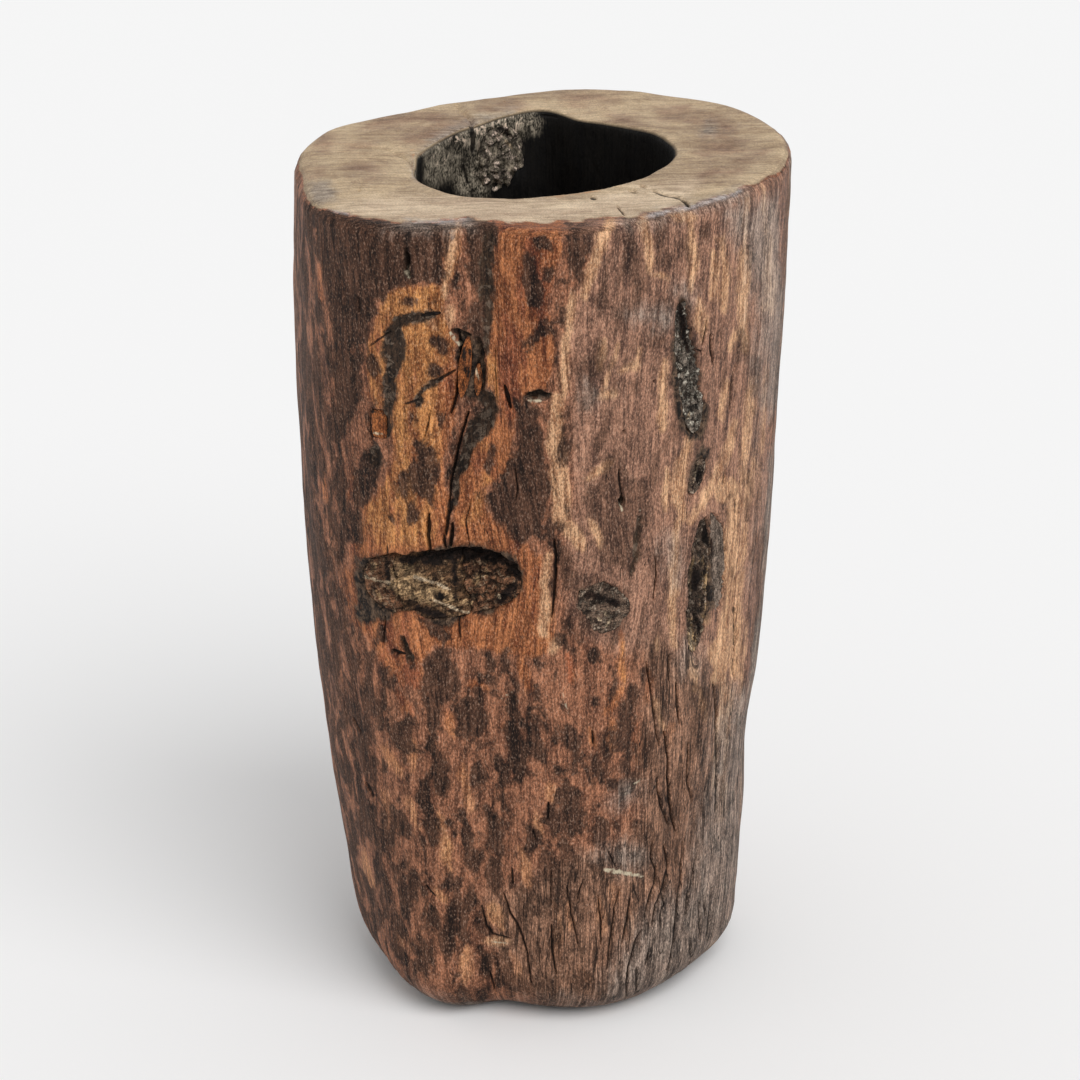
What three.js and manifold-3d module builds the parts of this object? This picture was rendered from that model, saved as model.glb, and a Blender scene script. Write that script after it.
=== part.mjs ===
// Butter pot hollowed from one log of dense hardwood, with its floor left in the log.
// Its wall still holds what grew or broke there: dead knots, ingrown bark, rotten wood and split-off pieces.
// Millimetres and degrees, +Z up, with -Y towards the large knot. The origin is the middle of the foot.

import * as THREE from 'three';
import { mergeVertices } from 'three/addons/utils/BufferGeometryUtils.js';
import Module from 'manifold-3d';

const wasm = await Module();
wasm.setup();

// Size of the pot
const POT_HEIGHT = 430;
const RIM_RADIUS = 120;
const BELLY_RADIUS = 112;
const FOOT_RADIUS = 99;
const BELLY_HEIGHT = 220;

// Depth below the rim, and height above the ground, at which the rim and foot radii are measured
const RIM_DROP = 30;
const FOOT_RISE = 30;

// The rim is worn lower on the left
const RIM_TILT = 0.02;
const RIM_EDGE_RADIUS = 7;
const FOOT_EDGE_RADIUS = 26;

// Hollow: a mouth as the wood broke and was cut, running down to a rounder floor
const MOUTH_RADIUS = 65;
const MOUTH_EDGE_RADIUS = 3;
const CAVITY_FLOOR_RADIUS = 57;
const CAVITY_CORNER_RADIUS = 22;
const FLOOR_THICKNESS = 60;
const MOUTH_WAVE_DEPTH = 110;

// Gap that a loose piece keeps to the pocket that holds it, and width of a crack that has opened in drying
const CLEARANCE = 0.3;
const CRACK_WIDTH = 0.8;

// Offsets from the radii above, every 15 degrees from +X, seen from above and counterclockwise
const WAVE_STEP = 15;
const RIM_WAVE = [
  0, 1.5, 3.5, 4, 2.5, 0.5, -3, -10.5, -11, -10, -1, 1,
  1.5, 2, 9, 15.5, 14.5, 0, 9, 4, -3, -4, -4.5, -2,
];
const BELLY_WAVE = [
  1.5, 1, 1, 0.5, -1, -2, -4, -8, -8, -6, 0, 3,
  6, 7, 8.5, 9, 6.5, -4, 0, -1, -4.5, -6, -5.5, -1.5,
];
const FOOT_WAVE = [
  2.5, 5, 5, 4, 2, 0, -1, -2, -2, -1, 0, -1,
  -1.5, -1, 0, 5, 6, -7, -4, -0.5, -0.5, -2.5, -2.5, 1,
];
const MOUTH_WAVE = [
  -1, -2, -2, -5, -5, -2, 13, 6, -3, -6, -8.5, -8,
  -5, -3, 4.5, 9, 11, 9, 4.5, 1, 0, -2, -3, -1.5,
];

// Slight waist on the right of the foot
const WAIST = { azimuth: 0, rise: 120, arc: 28, tall: 38, out: -3 };

// Steps of the pot's own mesh
const AROUND_STEPS = 64;
const WALL_STEPS = 18;
const CAVITY_STEPS = 8;

// Turns of the rounded edges' rings, from the foot's flat, the wall, the mouth's flat and the cavity's wall
const FOOT_EDGE_TURNS = [0, 25, 50, 72];
const RIM_EDGE_TURNS = [30, 60, 90];
const MOUTH_EDGE_TURNS = [90, 45, 0];
const CAVITY_CORNER_TURNS = [30, 60, 90];

// Steps around a held piece with the rings of its face, and around a hole or crack
const AROUND_PIECE = 20;
const FACE_RINGS = [1, 0.66, 0.33];
const AROUND_SMALL_CUT = 8;

// Pieces held in the wall. down is from the rim to the middle of the piece, lean turns its top to the right,
// depth is how far it reaches into the wood, sink is how far its face lies below the wall, overhang adds to
// the sink at its top edge, and taper is the size of its inner end. outline makes it uneven, from its right
// side and counterclockwise. A piece on the cavity's side has inside: true.
const FRONT_KNOT = {
  azimuth: -116, down: 183, width: 82, tall: 36, lean: -8, depth: 22, sink: 2.5, overhang: 6, taper: 0.82,
  outline: [0, 0.02, 0.05, 0, -0.08, -0.05, 0.04, 0, -0.1, -0.02, 0.06, 0.03],
};
const RIGHT_KNOT_CORE = {
  azimuth: -44.5, down: 196, width: 15, tall: 74, lean: 0, depth: 18, sink: 4, overhang: 2, taper: 0.8,
  outline: [0, 0.06, 0, -0.06, 0, 0.08, 0, -0.08],
};
const RIGHT_KNOT_BARK = {
  down: 187, width: 11, tall: 70, lean: -9, depth: 12, sink: 2, overhang: 1, taper: 0.8,
  outline: [0, 0.04, 0, -0.04, 0, 0.05, 0, -0.05],
};
const RIGHT_SMALL_KNOT = {
  azimuth: -47.5, down: 137, width: 9, tall: 18, lean: 21, depth: 9, sink: 2, overhang: 0.5, taper: 0.8,
  outline: [0, 0.05, 0, -0.05, 0, 0.05],
};
const INGROWN_BARK = {
  azimuth: -52.4, down: 79, width: 15, tall: 72, lean: -11, depth: 10, sink: 2.5, overhang: 0, taper: 0.75,
  outline: [0.05, -0.1, 0, -0.1, 0, 0.05, 0.02, 0.1],
};
const CENTRE_KNOT = {
  azimuth: -75, down: 193, width: 29, tall: 29, lean: 0, depth: 12, sink: 3.5, overhang: 1, taper: 0.8,
  outline: [0, -0.05, 0, 0.14, -0.05, -0.15, 0.02, 0.05],
};
const LOOSE_CHIP = {
  azimuth: -126.7, down: 102, width: 8, tall: 14, lean: 2, depth: 7, sink: 0.4, overhang: 0, taper: 0.9,
  outline: [0.06, 0.16, -0.06, 0.16, 0.06, 0.16, -0.06, 0.16],
};
const FISSURE_SPLINTER = {
  azimuth: -107.7, down: 70, width: 5.5, tall: 32, lean: 7, depth: 6, sink: -0.8, overhang: 0, taper: 0.85,
  outline: [0, 0.05, 0, -0.05, 0, 0.05],
};
const FISSURE_SHARD = {
  down: 76.5, width: 3.6, tall: 17, lean: 3, depth: 4, sink: 0.2, overhang: 0, taper: 0.85,
  outline: [0, 0.05, 0, -0.05, 0, 0.05],
};
const INNER_ROT = {
  azimuth: 109, down: 24, width: 30, tall: 38, lean: 6, depth: 9, sink: 1.2, overhang: 0, taper: 0.85,
  outline: [0.05, 0, -0.06, 0.05, 0.08, -0.04, 0, 0.04], inside: true,
};

// Sound wood left between the right knot and its bark, and between the splinter and the shard beside it
const KNOT_TO_BARK = 2.5;
const SPLINTER_TO_SHARD = 1.1;

// Two cracks that opened through the large knot: distance right of its middle at its top, middle and bottom
const LEFT_KNOT_CRACK = [-19, -20, -19.5];
const RIGHT_KNOT_CRACK = [13, 12.3, 13.2];

// Holes of beetles and rot, and the widest drying cracks, cut into the pot
const HOLES = [
  { azimuth: -118, down: 18, width: 2.2, tall: 13, lean: -3, depth: 9, taper: 0.6 },
  { azimuth: -91.3, down: 81, width: 9, tall: 4.6, lean: 12, depth: 8, taper: 0.6 },
  { azimuth: 129, down: 26, width: 6, tall: 9, lean: 0, depth: 9, taper: 0.7, inside: true },
];
const CRACKS = [
  { azimuth: -110, down: 223, width: 1.6, tall: 34, lean: 1, depth: 9, taper: 0.3 },
  { azimuth: -110, down: 147, width: 1.8, tall: 30, lean: -6, depth: 10, taper: 0.3 },
  { azimuth: -88, down: 140, width: 1.4, tall: 70, lean: 1, depth: 6, taper: 0.3 },
  { azimuth: -52, down: 290, width: 1.8, tall: 90, lean: -2, depth: 9, taper: 0.3 },
  { azimuth: -42, down: 320, width: 1.6, tall: 80, lean: 3, depth: 8, taper: 0.3 },
  { azimuth: 127, down: 14, width: 2, tall: 64, lean: 0, depth: 26, taper: 0.3, inside: true },
];

// Reach of a pocket's cutter past the wall, so that no skin is left over the pocket
const CUTTER_REACH = 12;

// Points closer than this are one point
const SAME_POINT = 1e-4;

const radians = THREE.MathUtils.degToRad;

// Smooth closed curve through the values of a wave, at an azimuth
function waveAt(wave, azimuth) {
  const count = wave.length;
  const place = (((azimuth / WAVE_STEP) % count) + count) % count;
  const step = Math.floor(place);
  const t = place - step;
  const [a, b, c, d] = [-1, 0, 1, 2].map((k) => wave[(step + k + count) % count]);
  return b + 0.5 * t * (c - a + t * (2 * a - 5 * b + 4 * c - d + t * (3 * (b - c) + d - a)));
}

// Shortest turn from one azimuth to another, from -180 to 180
function turnBetween(azimuth, other) {
  return ((((azimuth - other + 180) % 360) + 360) % 360) - 180;
}

// Radius of the outer wall before its rim and foot are rounded: a curve through foot, belly and rim
function wallRadius(azimuth, z) {
  const foot = FOOT_RADIUS + waveAt(FOOT_WAVE, azimuth);
  const belly = BELLY_RADIUS + waveAt(BELLY_WAVE, azimuth);
  const rim = RIM_RADIUS + waveAt(RIM_WAVE, azimuth);
  const rimHeight = POT_HEIGHT - RIM_DROP;
  const lowerSlope = (belly - foot) / (BELLY_HEIGHT - FOOT_RISE);
  const upperSlope = (rim - belly) / (rimHeight - BELLY_HEIGHT);
  const bend = (upperSlope - lowerSlope) / (rimHeight - FOOT_RISE);
  const turn = turnBetween(azimuth, WAIST.azimuth) / WAIST.arc;
  const climb = (z - WAIST.rise) / WAIST.tall;
  const waist = WAIST.out * Math.exp(-turn * turn - climb * climb);
  return foot + lowerSlope * (z - FOOT_RISE) + bend * (z - FOOT_RISE) * (z - BELLY_HEIGHT) + waist;
}

// Height of the worn rim above a point of the ground
function rimHeightAt(x) {
  return POT_HEIGHT + RIM_TILT * x;
}

// Radius of the cavity's wall: the mouth's shape near the rim, a rounder one towards the floor
function cavityRadius(azimuth, z) {
  const sunk = POT_HEIGHT - z;
  const share = sunk / (POT_HEIGHT - FLOOR_THICKNESS);
  const fade = Math.exp(-sunk / MOUTH_WAVE_DEPTH);
  return THREE.MathUtils.lerp(MOUTH_RADIUS, CAVITY_FLOOR_RADIUS, share) + fade * waveAt(MOUTH_WAVE, azimuth);
}

function planPoint(azimuth, radius, z) {
  return new THREE.Vector3(radius * Math.cos(radians(azimuth)), radius * Math.sin(radians(azimuth)), z);
}

// Closed body through rings of points, each ring counterclockwise seen from the outside of its last ring
function ringBody(startPoint, rings, endPoint) {
  const points = [startPoint, ...rings.flat(), endPoint];
  const around = rings[0].length;
  const last = points.length - 1;
  const index = [];
  const at = (ring, k) => 1 + ring * around + (k % around);
  for (let k = 0; k < around; k += 1) {
    index.push(0, at(0, k + 1), at(0, k));
    index.push(last, at(rings.length - 1, k), at(rings.length - 1, k + 1));
    for (let ring = 0; ring < rings.length - 1; ring += 1) {
      index.push(at(ring, k), at(ring, k + 1), at(ring + 1, k + 1));
      index.push(at(ring, k), at(ring + 1, k + 1), at(ring + 1, k));
    }
  }
  const geometry = new THREE.BufferGeometry().setFromPoints(points);
  geometry.setIndex(index);
  return geometry;
}

// Solid for cutting, from a closed geometry
function solidOf(geometry) {
  const bare = geometry.clone();
  bare.deleteAttribute('normal');
  bare.deleteAttribute('uv');
  const merged = mergeVertices(bare, SAME_POINT);
  const vertProperties = Float32Array.from(merged.attributes.position.array);
  const triVerts = Uint32Array.from(merged.index.array);
  return new wasm.Manifold(new wasm.Mesh({ numProp: 3, vertProperties, triVerts }));
}

function geometryOf(solid) {
  const mesh = solid.getMesh();
  const geometry = new THREE.BufferGeometry();
  geometry.setAttribute('position', new THREE.BufferAttribute(Float32Array.from(mesh.vertProperties), 3));
  geometry.setIndex(new THREE.BufferAttribute(Uint32Array.from(mesh.triVerts), 1));
  return geometry;
}

// The log: foot, outer wall, rim, mouth and cavity as one skin of rings from the foot's middle to the floor's
function logGeometry() {
  const azimuths = Array.from({ length: AROUND_STEPS }, (_, k) => (k * 360) / AROUND_STEPS);
  const ring = (pointAt) => azimuths.map(pointAt);
  const rings = [];
  rings.push(ring((azimuth) => planPoint(azimuth, (FOOT_RADIUS - FOOT_EDGE_RADIUS) / 2, 0)));
  for (const turn of FOOT_EDGE_TURNS) {
    const inset = FOOT_EDGE_RADIUS * (1 - Math.sin(radians(turn)));
    const z = FOOT_EDGE_RADIUS * (1 - Math.cos(radians(turn)));
    rings.push(ring((azimuth) => planPoint(azimuth, wallRadius(azimuth, z) - inset, z)));
  }
  const outerRim = (azimuth) => {
    const radius = wallRadius(azimuth, POT_HEIGHT);
    return { radius, z: rimHeightAt(planPoint(azimuth, radius, 0).x) };
  };
  for (let step = 0; step <= WALL_STEPS; step += 1) {
    rings.push(ring((azimuth) => {
      const topOfWall = outerRim(azimuth).z - RIM_EDGE_RADIUS;
      const z = THREE.MathUtils.lerp(FOOT_EDGE_RADIUS, topOfWall, step / WALL_STEPS);
      return planPoint(azimuth, wallRadius(azimuth, z), z);
    }));
  }
  for (const turn of RIM_EDGE_TURNS) {
    const inset = RIM_EDGE_RADIUS * (1 - Math.cos(radians(turn)));
    const fall = RIM_EDGE_RADIUS * (1 - Math.sin(radians(turn)));
    rings.push(ring((azimuth) => {
      const { radius, z } = outerRim(azimuth);
      return planPoint(azimuth, radius - inset, z - fall);
    }));
  }
  const mouthRim = (azimuth) => {
    const radius = cavityRadius(azimuth, POT_HEIGHT);
    return { radius, z: rimHeightAt(planPoint(azimuth, radius, 0).x) };
  };
  rings.push(ring((azimuth) => {
    const outer = outerRim(azimuth).radius - RIM_EDGE_RADIUS;
    const inner = mouthRim(azimuth).radius + MOUTH_EDGE_RADIUS;
    const middle = planPoint(azimuth, (outer + inner) / 2, 0);
    return middle.setZ(rimHeightAt(middle.x));
  }));
  for (const turn of MOUTH_EDGE_TURNS) {
    const outset = MOUTH_EDGE_RADIUS * (1 - Math.cos(radians(turn)));
    const fall = MOUTH_EDGE_RADIUS * (1 - Math.sin(radians(turn)));
    rings.push(ring((azimuth) => {
      const { radius, z } = mouthRim(azimuth);
      return planPoint(azimuth, radius + outset, z - fall);
    }));
  }
  const cavityCorner = FLOOR_THICKNESS + CAVITY_CORNER_RADIUS;
  for (let step = 1; step <= CAVITY_STEPS; step += 1) {
    rings.push(ring((azimuth) => {
      const topOfCavity = mouthRim(azimuth).z - MOUTH_EDGE_RADIUS;
      const z = THREE.MathUtils.lerp(topOfCavity, cavityCorner, step / CAVITY_STEPS);
      return planPoint(azimuth, cavityRadius(azimuth, z), z);
    }));
  }
  for (const turn of CAVITY_CORNER_TURNS) {
    const inset = CAVITY_CORNER_RADIUS * (1 - Math.cos(radians(turn)));
    const z = cavityCorner - CAVITY_CORNER_RADIUS * Math.sin(radians(turn));
    rings.push(ring((azimuth) => planPoint(azimuth, cavityRadius(azimuth, cavityCorner) - inset, z)));
  }
  return ringBody(new THREE.Vector3(0, 0, 0), rings, new THREE.Vector3(0, 0, FLOOR_THICKNESS));
}

// Places seen square to the wall at a piece: u to the right, v up, and a depth below the wall's skin
function placeOn(piece) {
  const skinRadius = piece.inside ? cavityRadius : wallRadius;
  const facing = piece.inside ? -1 : 1;
  const middleZ = POT_HEIGHT - piece.down;
  const out = planPoint(piece.azimuth, 1, 0);
  const right = planPoint(piece.azimuth + 90 * facing, 1, 0);
  const skinAt = (u, v) => {
    let along = skinRadius(piece.azimuth, middleZ + v);
    for (let pass = 0; pass < 4; pass += 1) {
      const azimuth = piece.azimuth + facing * THREE.MathUtils.radToDeg(Math.atan2(u, along));
      along = Math.sqrt(skinRadius(azimuth, middleZ + v) ** 2 - u * u);
    }
    return along;
  };
  const pointAlong = (u, v, along) => new THREE.Vector3()
    .addScaledVector(out, along)
    .addScaledVector(right, u)
    .setZ(middleZ + v);
  return { facing, skinAt, pointAlong };
}

// Unevenness of a piece's outline, as a share of its size, at a turn around its middle
function outlineShare(piece, turn) {
  const outline = piece.outline ?? [0, 0];
  const place = (turn / 360) * outline.length;
  const step = Math.floor(place);
  const from = outline[step % outline.length];
  const to = outline[(step + 1) % outline.length];
  return 1 + THREE.MathUtils.lerp(from, to, THREE.MathUtils.smoothstep(place - step, 0, 1));
}

// Rings and spots of a tapered plug, from its flat inner end to its edge at the wall, grown by a gap
function plugForm(piece, grow, steps) {
  const { facing, skinAt, pointAlong } = placeOn(piece);
  const innerEnd = skinAt(0, 0) - facing * (piece.depth + grow);
  const spot = (turn, share, taper) => {
    const size = share * outlineShare(piece, turn);
    const across = size * ((piece.width / 2) * taper + grow) * Math.cos(radians(turn));
    const upward = size * ((piece.tall / 2) * taper + grow) * Math.sin(radians(turn));
    const lean = radians(piece.lean);
    return {
      u: across * Math.cos(lean) + upward * Math.sin(lean),
      v: upward * Math.cos(lean) - across * Math.sin(lean),
    };
  };
  const facePoint = ({ u, v }) => {
    const climb = THREE.MathUtils.clamp(v / (piece.tall / 2), 0, 1);
    const below = piece.sink + piece.overhang * climb * climb;
    return pointAlong(u, v, skinAt(u, v) - facing * below);
  };
  const cutPoint = ({ u, v }) => pointAlong(u, v, skinAt(u, v) + facing * CUTTER_REACH);
  const turns = Array.from({ length: steps }, (_, k) => (k * 360) / steps);
  const innerRing = turns.map((turn) => {
    const { u, v } = spot(turn, 1, piece.taper);
    return pointAlong(u, v, innerEnd);
  });
  const ringAt = (share, pointOf) => turns.map((turn) => pointOf(spot(turn, share, 1)));
  return { innerMiddle: pointAlong(0, 0, innerEnd), innerRing, ringAt, facePoint, cutPoint };
}

function looseGeometry(piece) {
  const { innerMiddle, innerRing, ringAt, facePoint } = plugForm(piece, 0, AROUND_PIECE);
  const faceRings = FACE_RINGS.map((share) => ringAt(share, facePoint));
  return ringBody(innerMiddle, [innerRing, ...faceRings], facePoint({ u: 0, v: 0 }));
}

function cutSolid(piece, grow, steps) {
  const { innerMiddle, innerRing, ringAt, facePoint, cutPoint } = plugForm(piece, grow, steps);
  const rings = [innerRing, ringAt(1, facePoint), ringAt(1, cutPoint)];
  return solidOf(ringBody(innerMiddle, rings, cutPoint({ u: 0, v: 0 })));
}

// Block of the knot between two cracks, each crack a bent plane through the knot; null is an open side
function knotShare(knot, leftCrack, rightCrack) {
  const { skinAt, pointAlong } = placeOn(knot);
  const heights = [knot.tall, 0, -knot.tall];
  const farSide = knot.width;
  const half = CRACK_WIDTH / 2;
  const leftSide = leftCrack ? leftCrack.map((u) => u + half) : heights.map(() => -farSide);
  const rightSide = rightCrack ? rightCrack.map((u) => u - half) : heights.map(() => farSide);
  const shape = new THREE.Shape();
  shape.moveTo(leftSide[0], heights[0]);
  leftSide.slice(1).forEach((u, k) => shape.lineTo(u, heights[k + 1]));
  [2, 1, 0].forEach((k) => shape.lineTo(rightSide[k], heights[k]));
  const length = knot.depth + 2 * CUTTER_REACH;
  const block = new THREE.ExtrudeGeometry(shape, { depth: length, bevelEnabled: false });
  const start = skinAt(0, 0) - knot.depth - CUTTER_REACH;
  const toPot = new THREE.Matrix4();
  const right = pointAlong(1, 0, 0).sub(pointAlong(0, 0, 0));
  const out = pointAlong(0, 0, 1).sub(pointAlong(0, 0, 0));
  toPot.makeBasis(right, new THREE.Vector3(0, 0, 1), out);
  toPot.setPosition(pointAlong(0, 0, start));
  return solidOf(block.applyMatrix4(toPot));
}

// Finishes of the woods
const HEARTWOOD = new THREE.MeshStandardMaterial({ color: 0x8a5636, roughness: 0.62, metalness: 0 });
const DEAD_KNOT = new THREE.MeshStandardMaterial({ color: 0x3c2d22, roughness: 0.85, metalness: 0 });
const BROKEN_KNOT = new THREE.MeshStandardMaterial({ color: 0x8f7350, roughness: 0.85, metalness: 0 });
const BARK = new THREE.MeshStandardMaterial({ color: 0x2b2520, roughness: 0.92, metalness: 0 });
const ROTTEN_WOOD = new THREE.MeshStandardMaterial({ color: 0x5a5346, roughness: 0.95, metalness: 0 });
const SPLIT_WOOD = new THREE.MeshStandardMaterial({ color: 0xa9683a, roughness: 0.7, metalness: 0 });

const pot = new THREE.Group();

function addPiece(name, geometry, material) {
  const mesh = new THREE.Mesh(geometry, material);
  mesh.name = name;
  pot.add(mesh);
}

// Azimuth of a piece that lies to the right of another, with some wood between them
function azimuthBeside(piece, next, between) {
  const apart = piece.width / 2 + between + next.width / 2;
  const radius = wallRadius(piece.azimuth, POT_HEIGHT - piece.down);
  return piece.azimuth + THREE.MathUtils.radToDeg(apart / radius);
}

const rightKnotBark = {
  ...RIGHT_KNOT_BARK,
  azimuth: azimuthBeside(RIGHT_KNOT_CORE, RIGHT_KNOT_BARK, KNOT_TO_BARK),
};
const fissureShard = {
  ...FISSURE_SHARD,
  azimuth: azimuthBeside(FISSURE_SPLINTER, FISSURE_SHARD, SPLINTER_TO_SHARD),
};

// The pieces held in the wall, and the pot with a pocket for each of them
const LOOSE_PIECES = [
  ['right_knot_core', RIGHT_KNOT_CORE, DEAD_KNOT],
  ['right_knot_bark', rightKnotBark, BARK],
  ['right_small_knot', RIGHT_SMALL_KNOT, DEAD_KNOT],
  ['ingrown_bark', INGROWN_BARK, BARK],
  ['centre_knot', CENTRE_KNOT, DEAD_KNOT],
  ['loose_chip', LOOSE_CHIP, SPLIT_WOOD],
  ['fissure_splinter', FISSURE_SPLINTER, SPLIT_WOOD],
  ['fissure_shard', fissureShard, SPLIT_WOOD],
  ['inner_rot', INNER_ROT, ROTTEN_WOOD],
];

let log = solidOf(logGeometry());
for (const piece of [FRONT_KNOT, ...LOOSE_PIECES.map(([, held]) => held)]) {
  log = log.subtract(cutSolid(piece, CLEARANCE, AROUND_PIECE));
}
for (const cut of [...HOLES, ...CRACKS]) {
  log = log.subtract(cutSolid({ ...cut, sink: 0, overhang: 0 }, 0, AROUND_SMALL_CUT));
}
addPiece('pot_body', geometryOf(log), HEARTWOOD);

// The large knot is one dead branch end that drying has split into three
const frontKnot = solidOf(looseGeometry(FRONT_KNOT));
const KNOT_SHARES = [
  ['front_knot_left', null, LEFT_KNOT_CRACK, DEAD_KNOT],
  ['front_knot_middle', LEFT_KNOT_CRACK, RIGHT_KNOT_CRACK, BROKEN_KNOT],
  ['front_knot_right', RIGHT_KNOT_CRACK, null, DEAD_KNOT],
];
for (const [name, leftCrack, rightCrack, material] of KNOT_SHARES) {
  addPiece(name, geometryOf(frontKnot.intersect(knotShare(FRONT_KNOT, leftCrack, rightCrack))), material);
}

for (const [name, piece, material] of LOOSE_PIECES) {
  addPiece(name, looseGeometry(piece), material);
}

export default pot;
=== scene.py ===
# %% [markdown]
# A butter pot is hollowed from one log. Drying has split its wall, knots have died in it, and years of
# hands and smoke have stained it. This lesson makes that log as one skin, then each piece held in it.
# The CAD frame gives the places, so everything here is worked out in millimetres and written in metres.

# %% Load the frame
import math

import bmesh
import bpy
import numpy as np
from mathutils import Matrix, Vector, noise


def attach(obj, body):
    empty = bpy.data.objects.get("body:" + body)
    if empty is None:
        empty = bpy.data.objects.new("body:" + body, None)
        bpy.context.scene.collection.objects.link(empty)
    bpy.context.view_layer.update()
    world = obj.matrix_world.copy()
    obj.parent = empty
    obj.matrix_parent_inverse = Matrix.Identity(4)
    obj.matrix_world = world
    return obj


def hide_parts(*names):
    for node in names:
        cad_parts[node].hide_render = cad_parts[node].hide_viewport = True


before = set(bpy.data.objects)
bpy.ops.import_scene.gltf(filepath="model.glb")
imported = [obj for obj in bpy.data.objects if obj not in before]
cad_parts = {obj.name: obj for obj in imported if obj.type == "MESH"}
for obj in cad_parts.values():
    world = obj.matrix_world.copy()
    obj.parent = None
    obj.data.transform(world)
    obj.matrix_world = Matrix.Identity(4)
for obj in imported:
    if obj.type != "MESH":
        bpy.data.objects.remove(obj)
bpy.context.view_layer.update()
MM = 0.001

# %% [markdown]
# The pot's shape repeats the sizes of the CAD source: three radii up the wall, and for each a wave of
# offsets around the log, because a tree is never round. A smooth curve through the wave's values keeps
# the log free of facets.

# %% Sizes of the pot
POT_HEIGHT, RIM_RADIUS, BELLY_RADIUS, FOOT_RADIUS = 430, 120, 112, 99
BELLY_HEIGHT, RIM_DROP, FOOT_RISE = 220, 30, 30
RIM_TILT, RIM_EDGE_RADIUS, FOOT_EDGE_RADIUS = 0.02, 7, 26
MOUTH_RADIUS, MOUTH_EDGE_RADIUS, MOUTH_WAVE_DEPTH = 65, 3, 110
CAVITY_FLOOR_RADIUS, CAVITY_CORNER_RADIUS, FLOOR_THICKNESS = 57, 22, 60
WAVE_STEP = 15
RIM_WAVE = [0, 1.5, 3.5, 4, 2.5, 0.5, -3, -10.5, -11, -10, -1, 1,
            1.5, 2, 9, 15.5, 14.5, 0, 9, 4, -3, -4, -4.5, -2]
BELLY_WAVE = [1.5, 1, 1, 0.5, -1, -2, -4, -8, -8, -6, 0, 3,
              6, 7, 8.5, 9, 6.5, -4, 0, -1, -4.5, -6, -5.5, -1.5]
FOOT_WAVE = [2.5, 5, 5, 4, 2, 0, -1, -2, -2, -1, 0, -1,
             -1.5, -1, 0, 5, 6, -7, -4, -0.5, -0.5, -2.5, -2.5, 1]
MOUTH_WAVE = [-1, -2, -2, -5, -5, -2, 13, 6, -3, -6, -8.5, -8,
              -5, -3, 4.5, 9, 11, 9, 4.5, 1, 0, -2, -3, -1.5]
WAIST_RISE, WAIST_ARC, WAIST_TALL, WAIST_OUT = 120, 28, 38, -3


def wave_at(wave, azimuth):
    """Smooth closed curve through the wave's values."""
    values = np.array(wave, float)
    place = (azimuth / WAVE_STEP) % len(values)
    step = np.floor(place).astype(int)
    t = place - step
    a, b, c, d = (values[(step + k) % len(values)] for k in (-1, 0, 1, 2))
    return b + 0.5 * t * (c - a + t * (2 * a - 5 * b + 4 * c - d + t * (3 * (b - c) + d - a)))


def wall_radius(azimuth, z):
    """Radius of the outer wall: a curve through foot, belly and rim, with a slight waist."""
    foot = FOOT_RADIUS + wave_at(FOOT_WAVE, azimuth)
    belly = BELLY_RADIUS + wave_at(BELLY_WAVE, azimuth)
    rim = RIM_RADIUS + wave_at(RIM_WAVE, azimuth)
    lower = (belly - foot) / (BELLY_HEIGHT - FOOT_RISE)
    upper = (rim - belly) / (POT_HEIGHT - RIM_DROP - BELLY_HEIGHT)
    bend = (upper - lower) / (POT_HEIGHT - RIM_DROP - FOOT_RISE)
    turn = ((azimuth + 180) % 360 - 180) / WAIST_ARC
    waist = WAIST_OUT * np.exp(-turn ** 2 - ((z - WAIST_RISE) / WAIST_TALL) ** 2)
    return foot + lower * (z - FOOT_RISE) + bend * (z - FOOT_RISE) * (z - BELLY_HEIGHT) + waist


def cavity_radius(azimuth, z):
    """Radius of the hollow: the mouth's shape near the rim, rounder towards the floor."""
    sunk = POT_HEIGHT - z
    share = sunk / (POT_HEIGHT - FLOOR_THICKNESS)
    fade = np.exp(-sunk / MOUTH_WAVE_DEPTH)
    straight = MOUTH_RADIUS + (CAVITY_FLOOR_RADIUS - MOUTH_RADIUS) * share
    return straight + fade * wave_at(MOUTH_WAVE, azimuth)


def rim_height(azimuth, radius):
    return POT_HEIGHT + RIM_TILT * radius * np.cos(np.radians(azimuth))


print("front wall radius at the rim:", round(float(wall_radius(np.array([-90.0]), 400)[0]), 1), "mm")

# %% [markdown]
# Every mark on this pot has its own place. The photograph's camera was worked out from the pot's
# outline, so a mark seen at a pixel can be put on the wall: each point of the wall is projected, and
# the distance to the mark is measured there. The camera itself comes next, from the same numbers.

# %% The camera
PHOTO_WIDTH = 1080
CAMERA_PLACE = (-1.45, -1720.0, 929.0)
CAMERA_DOWN = 22.2
FOCAL_PIXELS = 3671.0
SENSOR_WIDTH = 36.0

camera_data = bpy.data.cameras.new("photo_camera")
camera_data.sensor_width = SENSOR_WIDTH
camera_data.lens = FOCAL_PIXELS / PHOTO_WIDTH * SENSOR_WIDTH
camera_data.clip_end = 50
camera = bpy.data.objects.new("photo_camera", camera_data)
camera.location = [value * MM for value in CAMERA_PLACE]
camera.rotation_euler = (math.radians(90 - CAMERA_DOWN), 0, 0)
bpy.context.scene.collection.objects.link(camera)
bpy.context.scene.camera = camera


def to_photo(points):
    """Pixel of the photograph at which each point, in millimetres, is seen."""
    x, y, z = (points - np.array(CAMERA_PLACE)).T
    down = math.radians(CAMERA_DOWN)
    away = y * math.cos(down) - z * math.sin(down)
    up = y * math.sin(down) + z * math.cos(down)
    middle = PHOTO_WIDTH / 2
    return np.stack([middle + FOCAL_PIXELS * x / away, middle - FOCAL_PIXELS * up / away], axis=1)


print("lens:", round(camera_data.lens, 2), "mm")

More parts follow.
